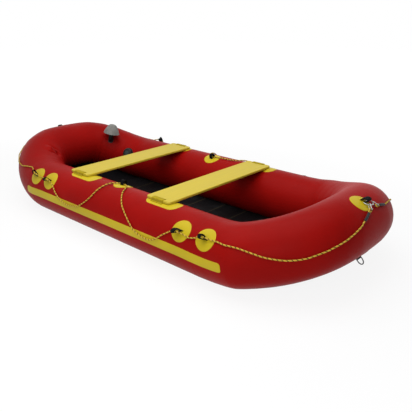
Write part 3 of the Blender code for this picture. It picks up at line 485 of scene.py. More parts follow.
# Mesh helpers
def addPiece(name, points, faces, finish, body, stands=(), uv=None, sharp=40):
    mesh = bpy.data.meshes.new(name)
    mesh.from_pydata([tuple(point) for point in points], [], [tuple(face) for face in faces])
    if uv is not None:
        layer = mesh.uv_layers.new(name="surface")
        for loop in mesh.loops:
            layer.data[loop.index].uv = uv[loop.vertex_index]
    shape = bmesh.new()
    shape.from_mesh(mesh)
    bmesh.ops.recalc_face_normals(shape, faces=shape.faces)
    shape.to_mesh(mesh)
    shape.free()
    mesh.shade_smooth()
    mesh.set_sharp_from_angle(angle=math.radians(sharp))
    return dress(bpy.data.objects.new(name, mesh), finish, body, stands)


def dress(piece, finish, body, stands=()):
    scene.collection.objects.link(piece)
    piece.data.materials.clear()
    piece.data.materials.append(finish)
    if body:
        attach(piece, body)
        if stands:
            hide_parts(*stands)
    return piece


def gridFaces(rows, columns, closeRows=False, closeColumns=False):
    faces = []
    for row in range(rows if closeRows else rows - 1):
        after = (row + 1) % rows
        for column in range(columns if closeColumns else columns - 1):
            beside = (column + 1) % columns
            faces.append((row * columns + column, row * columns + beside,
                          after * columns + beside, after * columns + column))
    return faces


def sheetFaces(rows, columns):
    # a thin sheet: its top grid, its underside and the rim between them
    top = rows * columns
    faces = gridFaces(rows, columns)
    faces += [tuple(k + top for k in face[::-1]) for face in gridFaces(rows, columns)]
    rim = list(range(columns)) + [row * columns + columns - 1 for row in range(1, rows)]
    rim += [(rows - 1) * columns + k for k in range(columns - 2, -1, -1)]
    rim += [row * columns for row in range(rows - 2, 0, -1)]
    for here, beside in zip(rim, rim[1:] + rim[:1]):
        faces.append((here, beside, top + beside, top + here))
    return faces


def sweep(line, section, up=None, closed=False):
    line = [Vector(point) for point in line]
    count = len(line)
    ahead = []
    for k in range(count):
        if closed:
            before, after = line[k - 1], line[(k + 1) % count]
        else:
            before, after = line[max(k - 1, 0)], line[min(k + 1, count - 1)]
        ahead.append((after - before).normalized())
    helper = up or Vector((0, 0, 1) if abs(ahead[0].z) < 0.9 else (1, 0, 0))
    side = helper.cross(ahead[0]).normalized()
    points, uv, travel = [], [], 0
    for k in range(count):
        side = (side - ahead[k] * side.dot(ahead[k])).normalized()
        top = ahead[k].cross(side)
        outline = section(k, travel) if callable(section) else section
        girth = 0
        for j, (a, b) in enumerate(outline):
            points.append(line[k] + side * a + top * b)
            uv.append((travel, girth))
            girth += math.dist(outline[j], outline[(j + 1) % len(outline)])
        if k < count - 1:
            travel += (line[k + 1] - line[k]).length
    faces = gridFaces(count, len(outline), closed, True)
    if not closed:
        faces.append(tuple(range(len(outline)))[::-1])
        faces.append(tuple(range(len(points) - len(outline), len(points))))
    return points, faces, uv


def roundRect(width, height, corner, steps=3):
    outline = []
    for quarter, (signA, signB) in enumerate(((1, 1), (-1, 1), (-1, -1), (1, -1))):
        for step in range(steps + 1):
            turn = math.pi / 2 * (quarter + step / steps)
            outline.append((signA * (width / 2 - corner) + corner * math.cos(turn),
                            signB * (height / 2 - corner) + corner * math.sin(turn)))
    return outline


def roundOutline(radius, count):
    turns = [2 * math.pi * k / count for k in range(count)]
    return [(radius * math.cos(turn), radius * math.sin(turn)) for turn in turns]


# Geometry Nodes helper: a tree with named inputs that ends in plain mesh and one finish
class Tree:
    def __init__(self, name, **sizes):
        self.group = bpy.data.node_groups.new(name, "GeometryNodeTree")
        self.group.is_modifier = True
        face = self.group.interface
        face.new_socket("Path", in_out="INPUT", socket_type="NodeSocketGeometry")
        for label, value in sizes.items():
            kind = "NodeSocketInt" if isinstance(value, int) else "NodeSocketFloat"
            face.new_socket(label, in_out="INPUT", socket_type=kind).default_value = value
        face.new_socket("Finish", in_out="INPUT", socket_type="NodeSocketMaterial")
        face.new_socket("Geometry", in_out="OUTPUT", socket_type="NodeSocketGeometry")
        self.given = self.group.nodes.new("NodeGroupInput").outputs

    def add(self, kind, settings=None, sockets=None):
        node = self.group.nodes.new(kind)
        for key, value in (settings or {}).items():
            setattr(node, key, value)
        for key, value in (sockets or {}).items():
            if isinstance(value, bpy.types.NodeSocket):
                self.group.links.new(value, node.inputs[key])
            else:
                node.inputs[key].default_value = value
        return node.outputs

    def finish(self, instances):
        plain = self.add("GeometryNodeRealizeInstances", None, {0: instances})
        sockets = {"Geometry": plain[0], "Material": self.given["Finish"]}
        dressed = self.add("GeometryNodeSetMaterial", None, sockets)
        self.add("NodeGroupOutput", None, {0: dressed[0]})
        return self.group


def grow(name, tree, points, finish, body, closed=False, **sizes):
    edges = [(k, k + 1) for k in range(len(points) - 1)] + ([(len(points) - 1, 0)] if closed else [])
    mesh = bpy.data.meshes.new(f"{name}Path")
    mesh.from_pydata([tuple(point) for point in points], edges, [])
    guide = bpy.data.objects.new(f"{name}Path", mesh)
    scene.collection.objects.link(guide)
    grower = guide.modifiers.new("grow", "NODES")
    grower.node_group = tree
    inputs = {**sizes, "Finish": finish}
    for socket in tree.interface.items_tree:
        if socket.in_out == "INPUT" and socket.name in inputs:
            grower[socket.identifier] = inputs[socket.name]
    grown = guide.evaluated_get(bpy.context.evaluated_depsgraph_get())
    made = bpy.data.meshes.new_from_object(grown)
    guide.modifiers.clear()
    bpy.data.objects.remove(guide)
    made.name = name
    return dress(bpy.data.objects.new(name, made), finish, body)


def stitchTree():
    tree = Tree("stitches", Spacing=0.004, Length=0.0028, Width=0.0008)
    path = tree.add("GeometryNodeMeshToCurve", None, {0: tree.given["Path"]})
    even = tree.add("GeometryNodeResampleCurve", {"mode": "LENGTH"},
                    {"Curve": path[0], "Length": tree.given["Spacing"]})
    bead = tree.add("GeometryNodeMeshUVSphere", None, {"Segments": 6, "Rings": 5, "Radius": 0.5})
    tangent = tree.add("GeometryNodeInputTangent")
    turned = tree.add("FunctionNodeAlignRotationToVector", {"axis": "Z"}, {"Vector": tangent[0]})
    size = tree.add("ShaderNodeCombineXYZ", None, {0: tree.given["Width"], 1: tree.given["Width"],
                                                   2: tree.given["Length"]})
    row = tree.add("GeometryNodeInstanceOnPoints", None,
                   {"Points": even[0], "Instance": bead[0], "Rotation": turned[0], "Scale": size[0]})
    return tree.finish(row[0])


# a row of bars, used for the painted highlights on the floor boards' edges
def highlightBarTree():
    tree = Tree("boardStrips", Length=1.0, Width=0.004, Height=0.0018)
    size = tree.add("ShaderNodeCombineXYZ", None, {0: tree.given["Width"], 1: tree.given["Length"],
                                                   2: tree.given["Height"]})
    bar = tree.add("GeometryNodeMeshCube", None,
                   {"Size": size[0], "Vertices X": 3, "Vertices Y": 12, "Vertices Z": 2})
    row = tree.add("GeometryNodeInstanceOnPoints", None, {"Points": tree.given["Path"], "Instance": bar[0]})
    return tree.finish(row[0])


stitches, boardStrips = stitchTree(), highlightBarTree()

# Grab line: the frame's route, but lower at the side loops and further out on the port side
line = {"diameter": 0.010, "lift": 0.0103, "fine": 0.005, "sleeve": 0.080, "sleeveDiameter": 0.018,
        "sleeveStep": 0.002, "ends": 0.008, "pitch": 0.030, "strands": 3, "strandLow": 0.87,
        "strandRise": 0.13, "sides": 18, "sternAngle": 46.8, "rowStep": 0.0036,
        "ropeStep": 0.012, "skip": 4, "gap": 0.0003, "loopGap": 0.002,
        "climb": 0.045, "leads": (0.020, 0.045), "blendReach": 0.36}
sleeveForm = {"taper": 0.006, "endLow": 0.80, "endRise": 0.20, "ribDepth": 0.035, "ribTurn": 420, "sides": 20}
sideLoops = {"angle": 41.0, "inside": 0.0125, "clear": 0.049, "width": 0.041, "patchTop": 0.0033,
             "runs": {"stern_a": -1.003, "stern_b": -0.797, "bow_b": 0.810, "bow_a": 1.042},
             "leans": {"starboard": {"stern_a": (-0.50, 0.30), "stern_b": (-0.35, -0.25),
                                     "bow_b": (-0.45, -0.60), "bow_a": (-0.38, 0.05)},
                       "port": {"stern_a": (-1.00, 0.50), "stern_b": (-0.45, -0.80),
                                "bow_b": (-0.55, -0.95), "bow_a": (-0.50, -0.85)}}}
# run along the tube and angle round it, from the bow to the stern
bowRoutes = {
    "starboard": ((1.875, 31.0), (1.810, 23.0), (1.726, 15.0), (1.637, 9.0), (1.550, 7.0), (1.460, 12.0),
                  (1.390, 19.0)),
    "port": ((1.885, 39.5), (1.797, 38.0), (1.700, 31.0), (1.600, 22.0), (1.500, 17.0), (1.400, 20.5)),
}
foreRoute = ((1.310, 28.5), (1.240, 37.0), (1.170, 40.5), (1.110, 41.0), (1.042, 41.0), (0.995, 39.5),
             (0.945, 36.5), (0.895, 34.0), (0.840, 37.0), (0.785, 39.5))
middleRoutes = {
    "starboard": ((0.740, 34.0), (0.675, 23.0), (0.600, 9.0), (0.536, 3.5), (0.455, 4.0), (0.374, 10.0),
                  (0.307, 22.0), (0.235, 35.0), (0.166, 48.0), (0.085, 70.0), (0.040, 88.0), (-0.010, 100.0)),
    "port": ((0.720, 40.0), (0.620, 42.0), (0.470, 43.0), (0.340, 46.0), (0.270, 60.0), (0.235, 80.0),
             (0.195, 93.0), (0.114, 97.0), (0.030, 99.0)),
}
aftRoute = ((-0.050, 103.0), (-0.082, 103.0), (-0.120, 97.0), (-0.147, 84.0), (-0.170, 62.0), (-0.203, 35.0),
            (-0.305, 13.0), (-0.420, 5.5), (-0.514, 6.0), (-0.621, 15.0), (-0.715, 31.0), (-0.770, 39.0),
            (-0.840, 41.0), (-0.950, 40.5), (-1.040, 42.0), (-1.095, 47.0), (-1.150, 51.0), (-1.224, 45.0),
            (-1.351, 31.0), (-1.500, 24.0), (-1.680, 25.0), (-1.850, 36.0), (-1.940, 44.5), (-1.980, 46.4))
bowGear = {"loopAngle": 63.5, "loopInside": 0.015, "patchTop": 0.0033, "patchGap": 0.0008, "slack": 0.0006,
           "rod": 0.006, "halfWidth": 0.039, "depth": 0.050, "bend": 1.25, "tilt": 14.0, "spread": 45.0,
           "pins": {"starboard": (0.038, 44.5), "port": (0.038, 45.5)}, "pinLift": 0.020,
           "eyeRope": 0.009, "eyeRound": 0.009, "eyeNeck": 0.0055, "eyeLength": 0.026, "eyeSteps": (22, 14),
           "shackleRod": 0.005, "pinClearance": 0.0004}


def ringHold(side):
    around, normal = tubeFrame(1, bowRun, bowGear["loopAngle"])[2:]
    origin = tubePoint(1, bowRun, bowGear["loopAngle"], bowGear["patchTop"])
    tilt = math.radians(bowGear["tilt"])
    down = normal * math.sin(tilt) - around * math.cos(tilt)
    inset = bowGear["loopInside"] - bowGear["rod"] / 2 - bowGear["slack"]
    pivot = origin - around * inset + normal * (bowGear["rod"] / 2 + bowGear["patchGap"])
    spring = max(bowGear["depth"] - bowGear["halfWidth"], bowGear["bend"] * bowGear["rod"])
    turn = math.radians(bowGear["spread"] * side)
    rise = (bowGear["depth"] - spring) * math.cos(turn)
    return pivot + Vector((0, 1, 0)) * bowGear["halfWidth"] * math.sin(turn) + down * (spring + rise)


def climbToLoops(side, even):
    over = [tubePoint(side, run, arc / arcPerDegree, line["lift"]) for run, arc in even]
    runs = even[:, 0]
    height = sideLoops["clear"] - line["diameter"] / 2 - line["loopGap"]
    for place, loopRun in sideLoops["runs"].items():
        along, around, normal = tubeFrame(side, loopRun, sideLoops["angle"])[1:]
        origin = tubePoint(side, loopRun, sideLoops["angle"], sideLoops["patchTop"])
        leanAlong, leanAround = sideLoops["leans"]["port" if side > 0 else "starboard"][place]
        hold = origin + (normal + along * leanAlong + around * leanAround) * height
        middle = loopRun + leanAlong * height
        arc = float(np.interp(-middle, -runs, even[:, 1]))
        rise = hold - tubePoint(side, middle, arc / arcPerDegree, line["lift"])
        for k, run in enumerate(runs):
            over[k] = over[k] + rise * math.exp(-(((run - middle) / line["climb"]) ** 2))
    return over


def eyeLine(pinAt, pull, axis):
    across = axis.cross(pull).normalized()
    slack = bowGear["eyeRound"] - bowGear["eyeRope"] / 2 - bowGear["shackleRod"] / 2 - bowGear["pinClearance"]
    wide, narrow = pinAt + pull * slack, pinAt + pull * bowGear["eyeLength"]
    lean = math.asin((bowGear["eyeRound"] - bowGear["eyeNeck"]) / (narrow - wide).length)
    loop = []
    roundSteps, neckSteps = bowGear["eyeSteps"]
    rounds = ((wide, bowGear["eyeRound"], math.pi / 2 - lean, math.pi + 2 * lean, roundSteps),
              (narrow, bowGear["eyeNeck"], lean - math.pi / 2, math.pi - 2 * lean, neckSteps))
    for centre, radius, first, span, steps in rounds:
        for step in range(steps + 1):
            turn = first + span * step / steps
            loop.append(centre + (pull * math.cos(turn) + across * math.sin(turn)) * radius)
    return loop


def strandSection(diameter):
    def outline(k, travel):
        twist = 2 * math.pi * travel / line["pitch"]
        made = []
        for j in range(line["sides"]):
            turn = 2 * math.pi * j / line["sides"]
            wave = abs(math.cos(line["strands"] / 2 * (turn - twist)))
            radius = diameter / 2 * (line["strandLow"] + line["strandRise"] * wave)
            made.append((radius * math.cos(turn), radius * math.sin(turn)))
        return made
    return outline


def ropeMesh(name, centre, diameter, body=None, stands=(), closed=False):
    dense = centre if closed else evenLine(centre, line["rowStep"])
    points, faces, uv = sweep(dense, strandSection(diameter), closed=closed)
    pitch, count = line["pitch"], line["sides"]
    uv = [(travel / pitch, (k % count) / count - travel / pitch) for k, (travel, girth) in enumerate(uv)]
    piece = addPiece(name, points, faces, ropeFinish, body, stands, uv, 180)
    wrapUv(piece, 1)
    return piece


def wrapUv(piece, whole):
    # the pattern goes on over the seam instead of running back across it
    layer = piece.data.uv_layers["surface"].data
    for polygon in piece.data.polygons:
        places = [layer[loop].uv[1] for loop in polygon.loop_indices]
        for loop, place in zip(polygon.loop_indices, places):
            if max(places) - place > whole / 2:
                layer[loop].uv[1] = place + whole


def sleeveSection(diameter, length):
    def outline(k, travel):
        end = max(0, min(travel, length - travel)) / sleeveForm["taper"]
        swell = sleeveForm["endLow"] + sleeveForm["endRise"] * min(1, end) ** 0.5
        rib = 1 - sleeveForm["ribDepth"] * math.sin(travel * sleeveForm["ribTurn"]) ** 2
        return roundOutline(diameter / 2 * swell * rib, sleeveForm["sides"])
    return outline


def addGrabLine(name, side):
    back, angle = bowGear["pins"][name]
    pinAt = tubePoint(side, bowRun - back, angle, bowGear["pinLift"])
    pull = (pinAt - ringHold(side)).normalized()
    outward = tubeFrame(side, bowRun - back, angle)[3]
    axis = (outward - pull * outward.dot(pull)).normalized()
    firstRun, firstAngle = bowRoutes[name][0]
    lead = tubePoint(side, firstRun, firstAngle, line["lift"]) - pinAt
    eyePull = (lead - axis * lead.dot(axis)).normalized()
    eyeRope = bowGear["eyeRope"]
    eye = ropeMesh(f"ropeEye_{name}", eyeLine(pinAt, eyePull, axis), eyeRope, "bow_ring",
                   [f"rope_eye_{name}"], True)
    start = pinAt + eyePull * (bowGear["eyeLength"] + bowGear["eyeNeck"] + eyeRope / 2 + line["gap"])
    route = bowRoutes[name] + foreRoute + middleRoutes[name] + aftRoute + ((sternRun, line["sternAngle"]),)
    even = evenLine([(run, turn * arcPerDegree) for run, turn in route], 4 * line["fine"])
    lead = [start] + [start + eyePull * reach for reach in line["leads"]]
    dense = evenLine(lead + climbToLoops(side, even), line["fine"])
    dense[-1][1] = side * 2 * line["gap"]
    cut = round(line["sleeve"] / line["fine"])
    meet = dense[cut]
    ahead = dense[cut + 1] - dense[cut - 1]
    ahead /= np.linalg.norm(ahead)
    covered = evenLine([*dense[: cut - 1], meet - ahead * line["ends"], meet], line["sleeveStep"])
    points, faces, uv = sweep(covered, sleeveSection(line["sleeveDiameter"], lineLength(covered)))
    sleeve = addPiece(f"ropeSleeve_{name}", points, faces, sleeveRubber, "bow_ring",
                      [f"rope_sleeve_{name}"], uv, 60)
    free = evenLine(dense[cut + line["skip"]:], line["ropeStep"])
    centre = [meet + ahead * line["gap"], meet + ahead * line["ends"], *free]
    rope = ropeMesh(f"grabLine_{name}", centre, line["diameter"])
    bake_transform(rope)
    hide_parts(f"grab_line_{name}")
    print(f"grab line {name}: {lineLength(centre):.3f} m")


for name, side in sides.items():
    addGrabLine(name, side)

# Tube skin: smooth between its seams, with a pinch at each seam and puckers inside the bends
skin = {"turns": 128, "gorePieces": 8, "sidePieces": 34, "smooth": 0.7, "pinch": 0.0006, "pinchWidth": 0.011,
        "pucker": 0.0020, "puckerWidth": 0.035, "waves": ((21, 5.3), (13, 1.7)),
        "seamRows": (-0.014, -0.007, 0.007, 0.014), "bulkheadX": 0.135, "bulkheadGap": 0.00105}
seamTurns = [2 * math.pi * k / skin["turns"] for k in range(skin["turns"])]
ringGrid = np.array([[ringCorner(station, turn, tubeRadius) for turn in seamTurns]
                     for station in range(len(path))])
mirror = np.array([1, -1, 1])
# creases inside the stern: run, angle, length, width and depth, with extra rows of skin round the first
puckers = {"side": -1, "rows": (-12, 10), "rowsPerMetre": 100,
           "places": ((-1.475, 140, 0.028, 0.024, 0.032), (-1.482, 116, 0.036, 0.025, -0.022),
                      (-1.420, 128, 0.013, 0.060, 0.015), (-1.540, 128, 0.016, 0.046, 0.010))}


def stationRing(station):
    if station < 0:
        return ringGrid[-station] * mirror
    if station > lastStation:
        return ringGrid[2 * lastStation - station] * mirror
    return ringGrid[station]


def skinRing(run, side=1):
    k, t = stretchOf(run)
    a, b, c, d = (stationRing(k + step) for step in (-1, 0, 1, 2))
    flat = b + (c - b) * t
    gaps = [np.linalg.norm(q - p, axis=1, keepdims=True) + 1e-6 for p, q in ((a, b), (b, c), (c, d))]
    leave = ((c - b) / gaps[1] * gaps[0] + (b - a) / gaps[0] * gaps[1]) / (gaps[0] + gaps[1]) * gaps[1]
    arrive = ((d - c) / gaps[2] * gaps[1] + (c - b) / gaps[1] * gaps[2]) / (gaps[1] + gaps[2]) * gaps[1]
    h1, h2 = 2 * t**3 - 3 * t**2 + 1, t**3 - 2 * t**2 + t
    h3, h4 = 3 * t**2 - 2 * t**3, t**3 - t**2
    curve = b * h1 + leave * h2 + c * h3 + arrive * h4
    onSide = k == straight
    ring = flat if onSide else flat + (curve - flat) * skin["smooth"]
    centre = ring.mean(axis=0)
    away = ring - centre
    reach = np.linalg.norm(away, axis=1, keepdims=True)
    near = min(abs(run - seam) for station, seam in enumerate(runAt) if station != straight + 1)
    pinch = skin["pinch"] * math.exp(-((near / skin["pinchWidth"]) ** 2))
    if onSide:
        return ring - away / reach * pinch
    turns = np.array(seamTurns)
    if side == puckers["side"]:
        degrees = (np.degrees(turns) + rollAt(run)) % 360
        for at, angle, length, width, depth in puckers["places"]:
            off = ((run - at) / length) ** 2 + ((degrees - angle) * arcPerDegree / width) ** 2
            pinch = pinch + depth * np.exp(-off)
    inner = np.clip(-np.cos(turns), 0, 1) ** 2
    (many, drift), (few, slide) = skin["waves"]
    waves = 0.5 + 0.5 * np.sin(turns * many + drift * k) * np.sin(turns * few + slide * k)
    pucker = skin["pucker"] * math.exp(-((near / skin["puckerWidth"]) ** 2)) * inner * waves
    return ring - away / reach * (pinch + pucker)[:, None]


def skinRuns(start, end):
    runs = {start, end}
    for k in range(len(heading)):
        steps = skin["sidePieces"] if k == straight else skin["gorePieces"]
        runs |= {runAt[k] + stride[k] * step / steps for step in range(steps + 1)}
        for offset in skin["seamRows"]:
            runs |= {runAt[k] + offset, runAt[k + 1] + offset}
    runs |= {puckers["places"][0][0] + step / puckers["rowsPerMetre"] for step in range(*puckers["rows"])}
    return sorted(run for run in runs if start <= run <= end)


def skinPiece(name, start, end, towardsBow, node):
    runs = skinRuns(start, end)
    runs = runs if towardsBow else runs[::-1]
    rows, lengths = [], []
    for run in runs:
        rows.append(skinRing(run, -1) * mirror)
        lengths.append(-run)
    for run in runs[-2::-1]:
        rows.append(skinRing(run))
        lengths.append(run)
    points = [point for row in rows for point in row]
    count = skin["turns"]
    faces = gridFaces(len(rows), count, False, True)
    uv = [(length, turn * tubeRadius) for length in lengths for turn in seamTurns]
    for row in (0, len(rows) - 1):
        points.append(rows[row].mean(axis=0))
        uv.append((lengths[row], 0))
        hub = len(points) - 1
        for k in range(count):
            faces.append((row * count + k, row * count + (k + 1) % count, hub))
    piece = addPiece(name, points, faces, redFabric, "hull", [node], uv, 50)
    wrapUv(piece, 2 * math.pi * tubeRadius)
    return piece


tubeFore = skinPiece("tubeFore", skin["bulkheadX"] + skin["bulkheadGap"], bowRun, True,
                     "buoyancy_chamber_fore")
tubeAft = skinPiece("tubeAft", sternRun, skin["bulkheadX"] - skin["bulkheadGap"], False,
                    "buoyancy_chamber_aft")
print("tube skin made")


def treeOf(*pieces):
    points, faces = [], []
    for piece in pieces:
        base = len(points)
        points += [vertex.co.copy() for vertex in piece.data.vertices]
        faces += [[base + k for k in polygon.vertices] for polygon in piece.data.polygons]
    return BVHTree.FromPolygons(points, faces)


tubeTree = treeOf(tubeFore, tubeAft)

# Patches laid on the tube
patch = {"radius": 0.080, "thickness": 0.0026, "rings": (0.25, 0.5, 0.72, 0.88, 0.955, 0.985, 1.0),
         "rise": (1, 1, 1, 1, 0.93, 0.7, 0.0), "turns": 72, "gap": 0.0002, "under": 0.0008,
         "underShare": 0.97, "dropFrom": 0.09, "dropReach": 0.25}


def dropOn(point, normal):
    hit, facing = tubeTree.ray_cast(point + normal * patch["dropFrom"], -normal, patch["dropReach"])[:2]
    if hit is None:
        hit, facing = tubeTree.find_nearest(point)[:2]
    return hit, facing if facing.dot(normal) > 0 else -facing


def addPatch(name, frameAt, outline, finish, stands=(), thickness=patch["thickness"]):
    origin, along, around, normal = frameAt
    points, uv = [], []
    for share, rise in zip(patch["rings"], patch["rise"]):
        for a, b in outline:
            spot, facing = dropOn(origin + around * a * share + along * b * share, normal)
            points.append(spot + facing * (patch["gap"] + thickness * rise))
            uv.append((b * share, a * share))
    count, rings, share = len(outline), len(patch["rings"]), patch["underShare"]
    for a, b in outline:
        spot, facing = dropOn(origin + around * a * share + along * b * share, normal)
        points.append(spot - facing * patch["under"])
        uv.append((b, a))
    faces = gridFaces(rings + 1, count, False, True)
    for lift, row in ((thickness + patch["gap"], 0), (-patch["under"], rings)):
        spot, facing = dropOn(origin, normal)
        points.append(spot + facing * lift)
        uv.append((0, 0))
        for k in range(count):
            faces.append((row * count + k, row * count + (k + 1) % count, len(points) - 1))
    return addPiece(name, points, faces, finish, "hull", stands, uv, 50)


# Webbing loops that stand on the patches: side, run, angle, inside, clear, width, leans, patch radius
loops = {"thickness": 0.0050, "edge": 0.0018, "step": 0.0018, "root": 0.0034, "sunk": 0.006, "tallFrom": 1.2,
         "turns": 24, "legs": (0, 0.34, 0.67), "middle": (-0.066, 104.0, 0.018, 0.038, 0.034)}
bowPatch = {"aside": 0.040, "angle": 64.0, "radius": 0.072}
loopPlaces = {}
for loopSide, sign in sides.items():
    form = [sideLoops[key] for key in ("angle", "inside", "clear", "width")]
    for place, run in sideLoops["runs"].items():
        lean = sideLoops["leans"][loopSide][place]
        loopPlaces[f"line_loop_{place}_{loopSide}"] = (sign, run, *form, lean, patch["radius"])
    loopPlaces[f"line_loop_middle_{loopSide}"] = (sign, *loops["middle"], (0, 0), patch["radius"])
loopPlaces["line_loop_stern"] = (1, sternRun, 48.0, 0.018, 0.032, 0.034, (0, 0), patch["radius"])
loopPlaces["bow_loop"] = (1, bowRun, 63.5, 0.015, 0.027, 0.058, (0, -0.55), bowPatch["radius"])
loopPlaces["tow_loop"] = (1, bowRun, -64.0, 0.012, 0.022, 0.036, (0, 0), patch["radius"])


def loopLine(inside, clear):
    # middle line of the strap: two legs out of the patch, close together under a tall round top
    middle, spring = inside + loops["thickness"] / 2, clear - inside
    low, foot = 0, middle
    reach = math.hypot(loops["root"], spring)
    if reach > loops["tallFrom"] * middle:
        foot = loops["root"]
        low = math.atan2(-spring, foot) + math.acos(middle / reach)
    arch = []
    for k in range(loops["turns"] + 1):
        turn = low + (math.pi - 2 * low) * k / loops["turns"]
        arch.append((middle * math.cos(turn), spring + middle * math.sin(turn)))
    first = arch[0]
    leg = [(foot, -loops["sunk"])]
    leg += [(foot + (first[0] - foot) * share, first[1] * share) for share in loops["legs"]]
    return leg + arch + [(-a, height) for a, height in leg[::-1]]


def addLoop(node):
    sign, run, angle, inside, clear, width, lean, patchRadius = loopPlaces[node]
    glued = tubeFrame(sign, run, angle)
    along, around, normal = glued[1:]
    if node == "bow_loop":
        glued = tubeFrame(-sign, run - bowPatch["aside"], bowPatch["angle"])
    fabric = redFabric if node == "tow_loop" else yellowFabric
    addPatch(f"{node}_patch", glued, roundOutline(patchRadius, patch["turns"]), fabric, [node])
    seat = tubePoint(sign, run, angle, sideLoops["patchTop"])
    stand = normal + along * lean[0] + around * lean[1]
    strap = [seat + around * a + stand * height for a, height in loopLine(inside, clear)]
    section = roundRect(width, loops["thickness"], loops["edge"])
    points, faces, uv = sweep(evenLine(strap, loops["step"]), section, up=stand.cross(along))
    addPiece(f"{node}_webbing", points, faces, blackWebbing, "hull", [node], uv, 60)


for node in loopPlaces:
    addLoop(node)
print("patches and loops made")

# Bands that follow the tube: side stripes and seam tapes
band = {"gap": 0.0002, "under": 0.0010}


def edgeRise(k, count):
    return 0 if k in (0, count - 1) else 1


def bandPiece(name, side, runs, anglesAt, thickness, finish, stands=(), closed=False):
    rings, points, under, uv = {}, [], [], []
    columns = len(anglesAt(runs[0]))
    for i, run in enumerate(runs):
        turned, folded = foldRun(1, run)
        ring = rings.setdefault(run, skinRing(folded, side * turned))
        flip = np.array([1, turned * side, 1])
        centre = ring.mean(axis=0)
        for j, angle in enumerate(anglesAt(run)):
            place = (angle / 360 * skin["turns"]) % skin["turns"]
            low = int(place) % skin["turns"]
            spot = ring[low] + (ring[(low + 1) % skin["turns"]] - ring[low]) * (place - int(place))
            away = (spot - centre) / np.linalg.norm(spot - centre)
            rise = edgeRise(i, len(runs)) * (1 if closed else edgeRise(j, columns))
            points.append((spot + away * (thickness * rise - band["gap"] * (1 - rise))) * flip)
            under.append((spot - away * band["under"]) * flip)
            uv.append((run, math.radians(angle) * tubeRadius))
    if closed:
        top = len(points)
        faces = gridFaces(len(runs), columns, False, True)
        faces += [tuple(k + top for k in face[::-1]) for face in faces]
        for row in (0, len(runs) - 1):
            for k in range(columns):
                here, beside = row * columns + k, row * columns + (k + 1) % columns
                faces.append((here, beside, top + beside, top + here))
    else:
        faces = sheetFaces(len(runs), columns)
    return addPiece(name, points + under, faces, finish, "hull", stands, uv + uv, 50)


stripe = {"runs": (-1.105, 1.165), "angles": (-6.0, 11.5), "thickness": 0.0016, "edge": 0.0012,
          "corner": 0.018, "cornerSteps": 6, "columns": 9, "rows": 100, "rowsFrom": 0.03, "droopFrom": 0.80,
          "droop": 4.4, "sternFrom": -0.85, "sternDroop": 2.0, "bend": 1.5}


def stripeAngles(run):
    start, end = stripe["runs"]
    low, high = stripe["angles"]
    corner, eased = stripe["corner"], math.degrees(stripe["edge"] / tubeRadius)
    gap = max(corner - min(run - start, end - run), 0)
    inset = (corner - math.sqrt(corner**2 - gap**2)) / arcPerDegree
    towardsBow = max(0, (run - stripe["droopFrom"]) / (end - stripe["droopFrom"])) ** stripe["bend"]
    towardsStern = max(0, (stripe["sternFrom"] - run) / (stripe["sternFrom"] - start)) ** stripe["bend"]
    droop = stripe["droop"] * towardsBow + stripe["sternDroop"] * towardsStern
    low, high = low + inset - droop, high - inset - droop
    middle = np.linspace(low + 2 * eased, high - 2 * eased, stripe["columns"])
    return [low, low + eased, *middle, high - eased, high]


def addStripe(name, side):
    start, end = stripe["runs"]
    edge, corner, steps = stripe["edge"], stripe["corner"], stripe["cornerSteps"]
    rounds = [corner * (1 - math.cos(math.pi / 2 * step / steps)) for step in range(1, steps + 1)]
    runs = [start, start + edge / 4] + [start + reach for reach in rounds]
    runs += list(np.linspace(start + stripe["rowsFrom"], end - stripe["rowsFrom"], stripe["rows"]))
    runs += [end - reach for reach in rounds[::-1]] + [end - edge / 4, end]
    bandPiece(f"sideStripe_{name}", side, runs, stripeAngles, stripe["thickness"], yellowFabric,
              [f"side_strake_{name}"])


for name, side in sides.items():
    addStripe(name, side)

tape = {"width": 0.026, "thickness": 0.0005, "edge": 0.0040, "turns": 96}


def tapeAngles(run):
    return [360 * k / tape["turns"] for k in range(tape["turns"])]


def addSeamTapes():
    half = tape["width"] / 2
    offsets = (-half, tape["edge"] - half, -half / 2, 0, half / 2, half - tape["edge"], half)
    bends = sorted([*runAt[1:lastStation], skin["bulkheadX"]])
    seams = [(f"{name}_{k + 1}", side, run) for name, side in sides.items() for k, run in enumerate(bends)]
    for name, side, run in seams + [("bow", 1, bowRun), ("stern", 1, sternRun)]:
        bandPiece(f"seamTape_{name}", side, [run + offset for offset in offsets], tapeAngles,
                  tape["thickness"], redFabric, (), True)


addSeamTapes()
print("stripes and seam tapes made")

# Patches under the ends of the thwarts
thwartPatch = {"length": 0.320, "reach": 0.070, "corner": 0.060, "cornerSteps": 16,
               "thickness": 0.0018,
               "places": {"fore_port": 0.465, "aft_port": -0.575,
                          "fore_starboard": 0.475, "aft_starboard": -0.490}}
thwartOutline = roundRect(2 * thwartPatch["reach"], thwartPatch["length"], thwartPatch["corner"],
                          thwartPatch["cornerSteps"])
for place, x in thwartPatch["places"].items():
    side = sides[place.split("_")[1]]
    addPatch(f"thwartPatch_{place}", tubeFrame(side, x, 90), thwartOutline, yellowFabric,
             [f"thwart_patch_{place}"], thwartPatch["thickness"])

# Bottom sheet, glued to the tube along both edges, and painted highlights on the floor boards' edges, as pale
# bars
bottom = {"angle": 238.96, "tuck": 0.010, "thickness": 0.004, "across": 13}


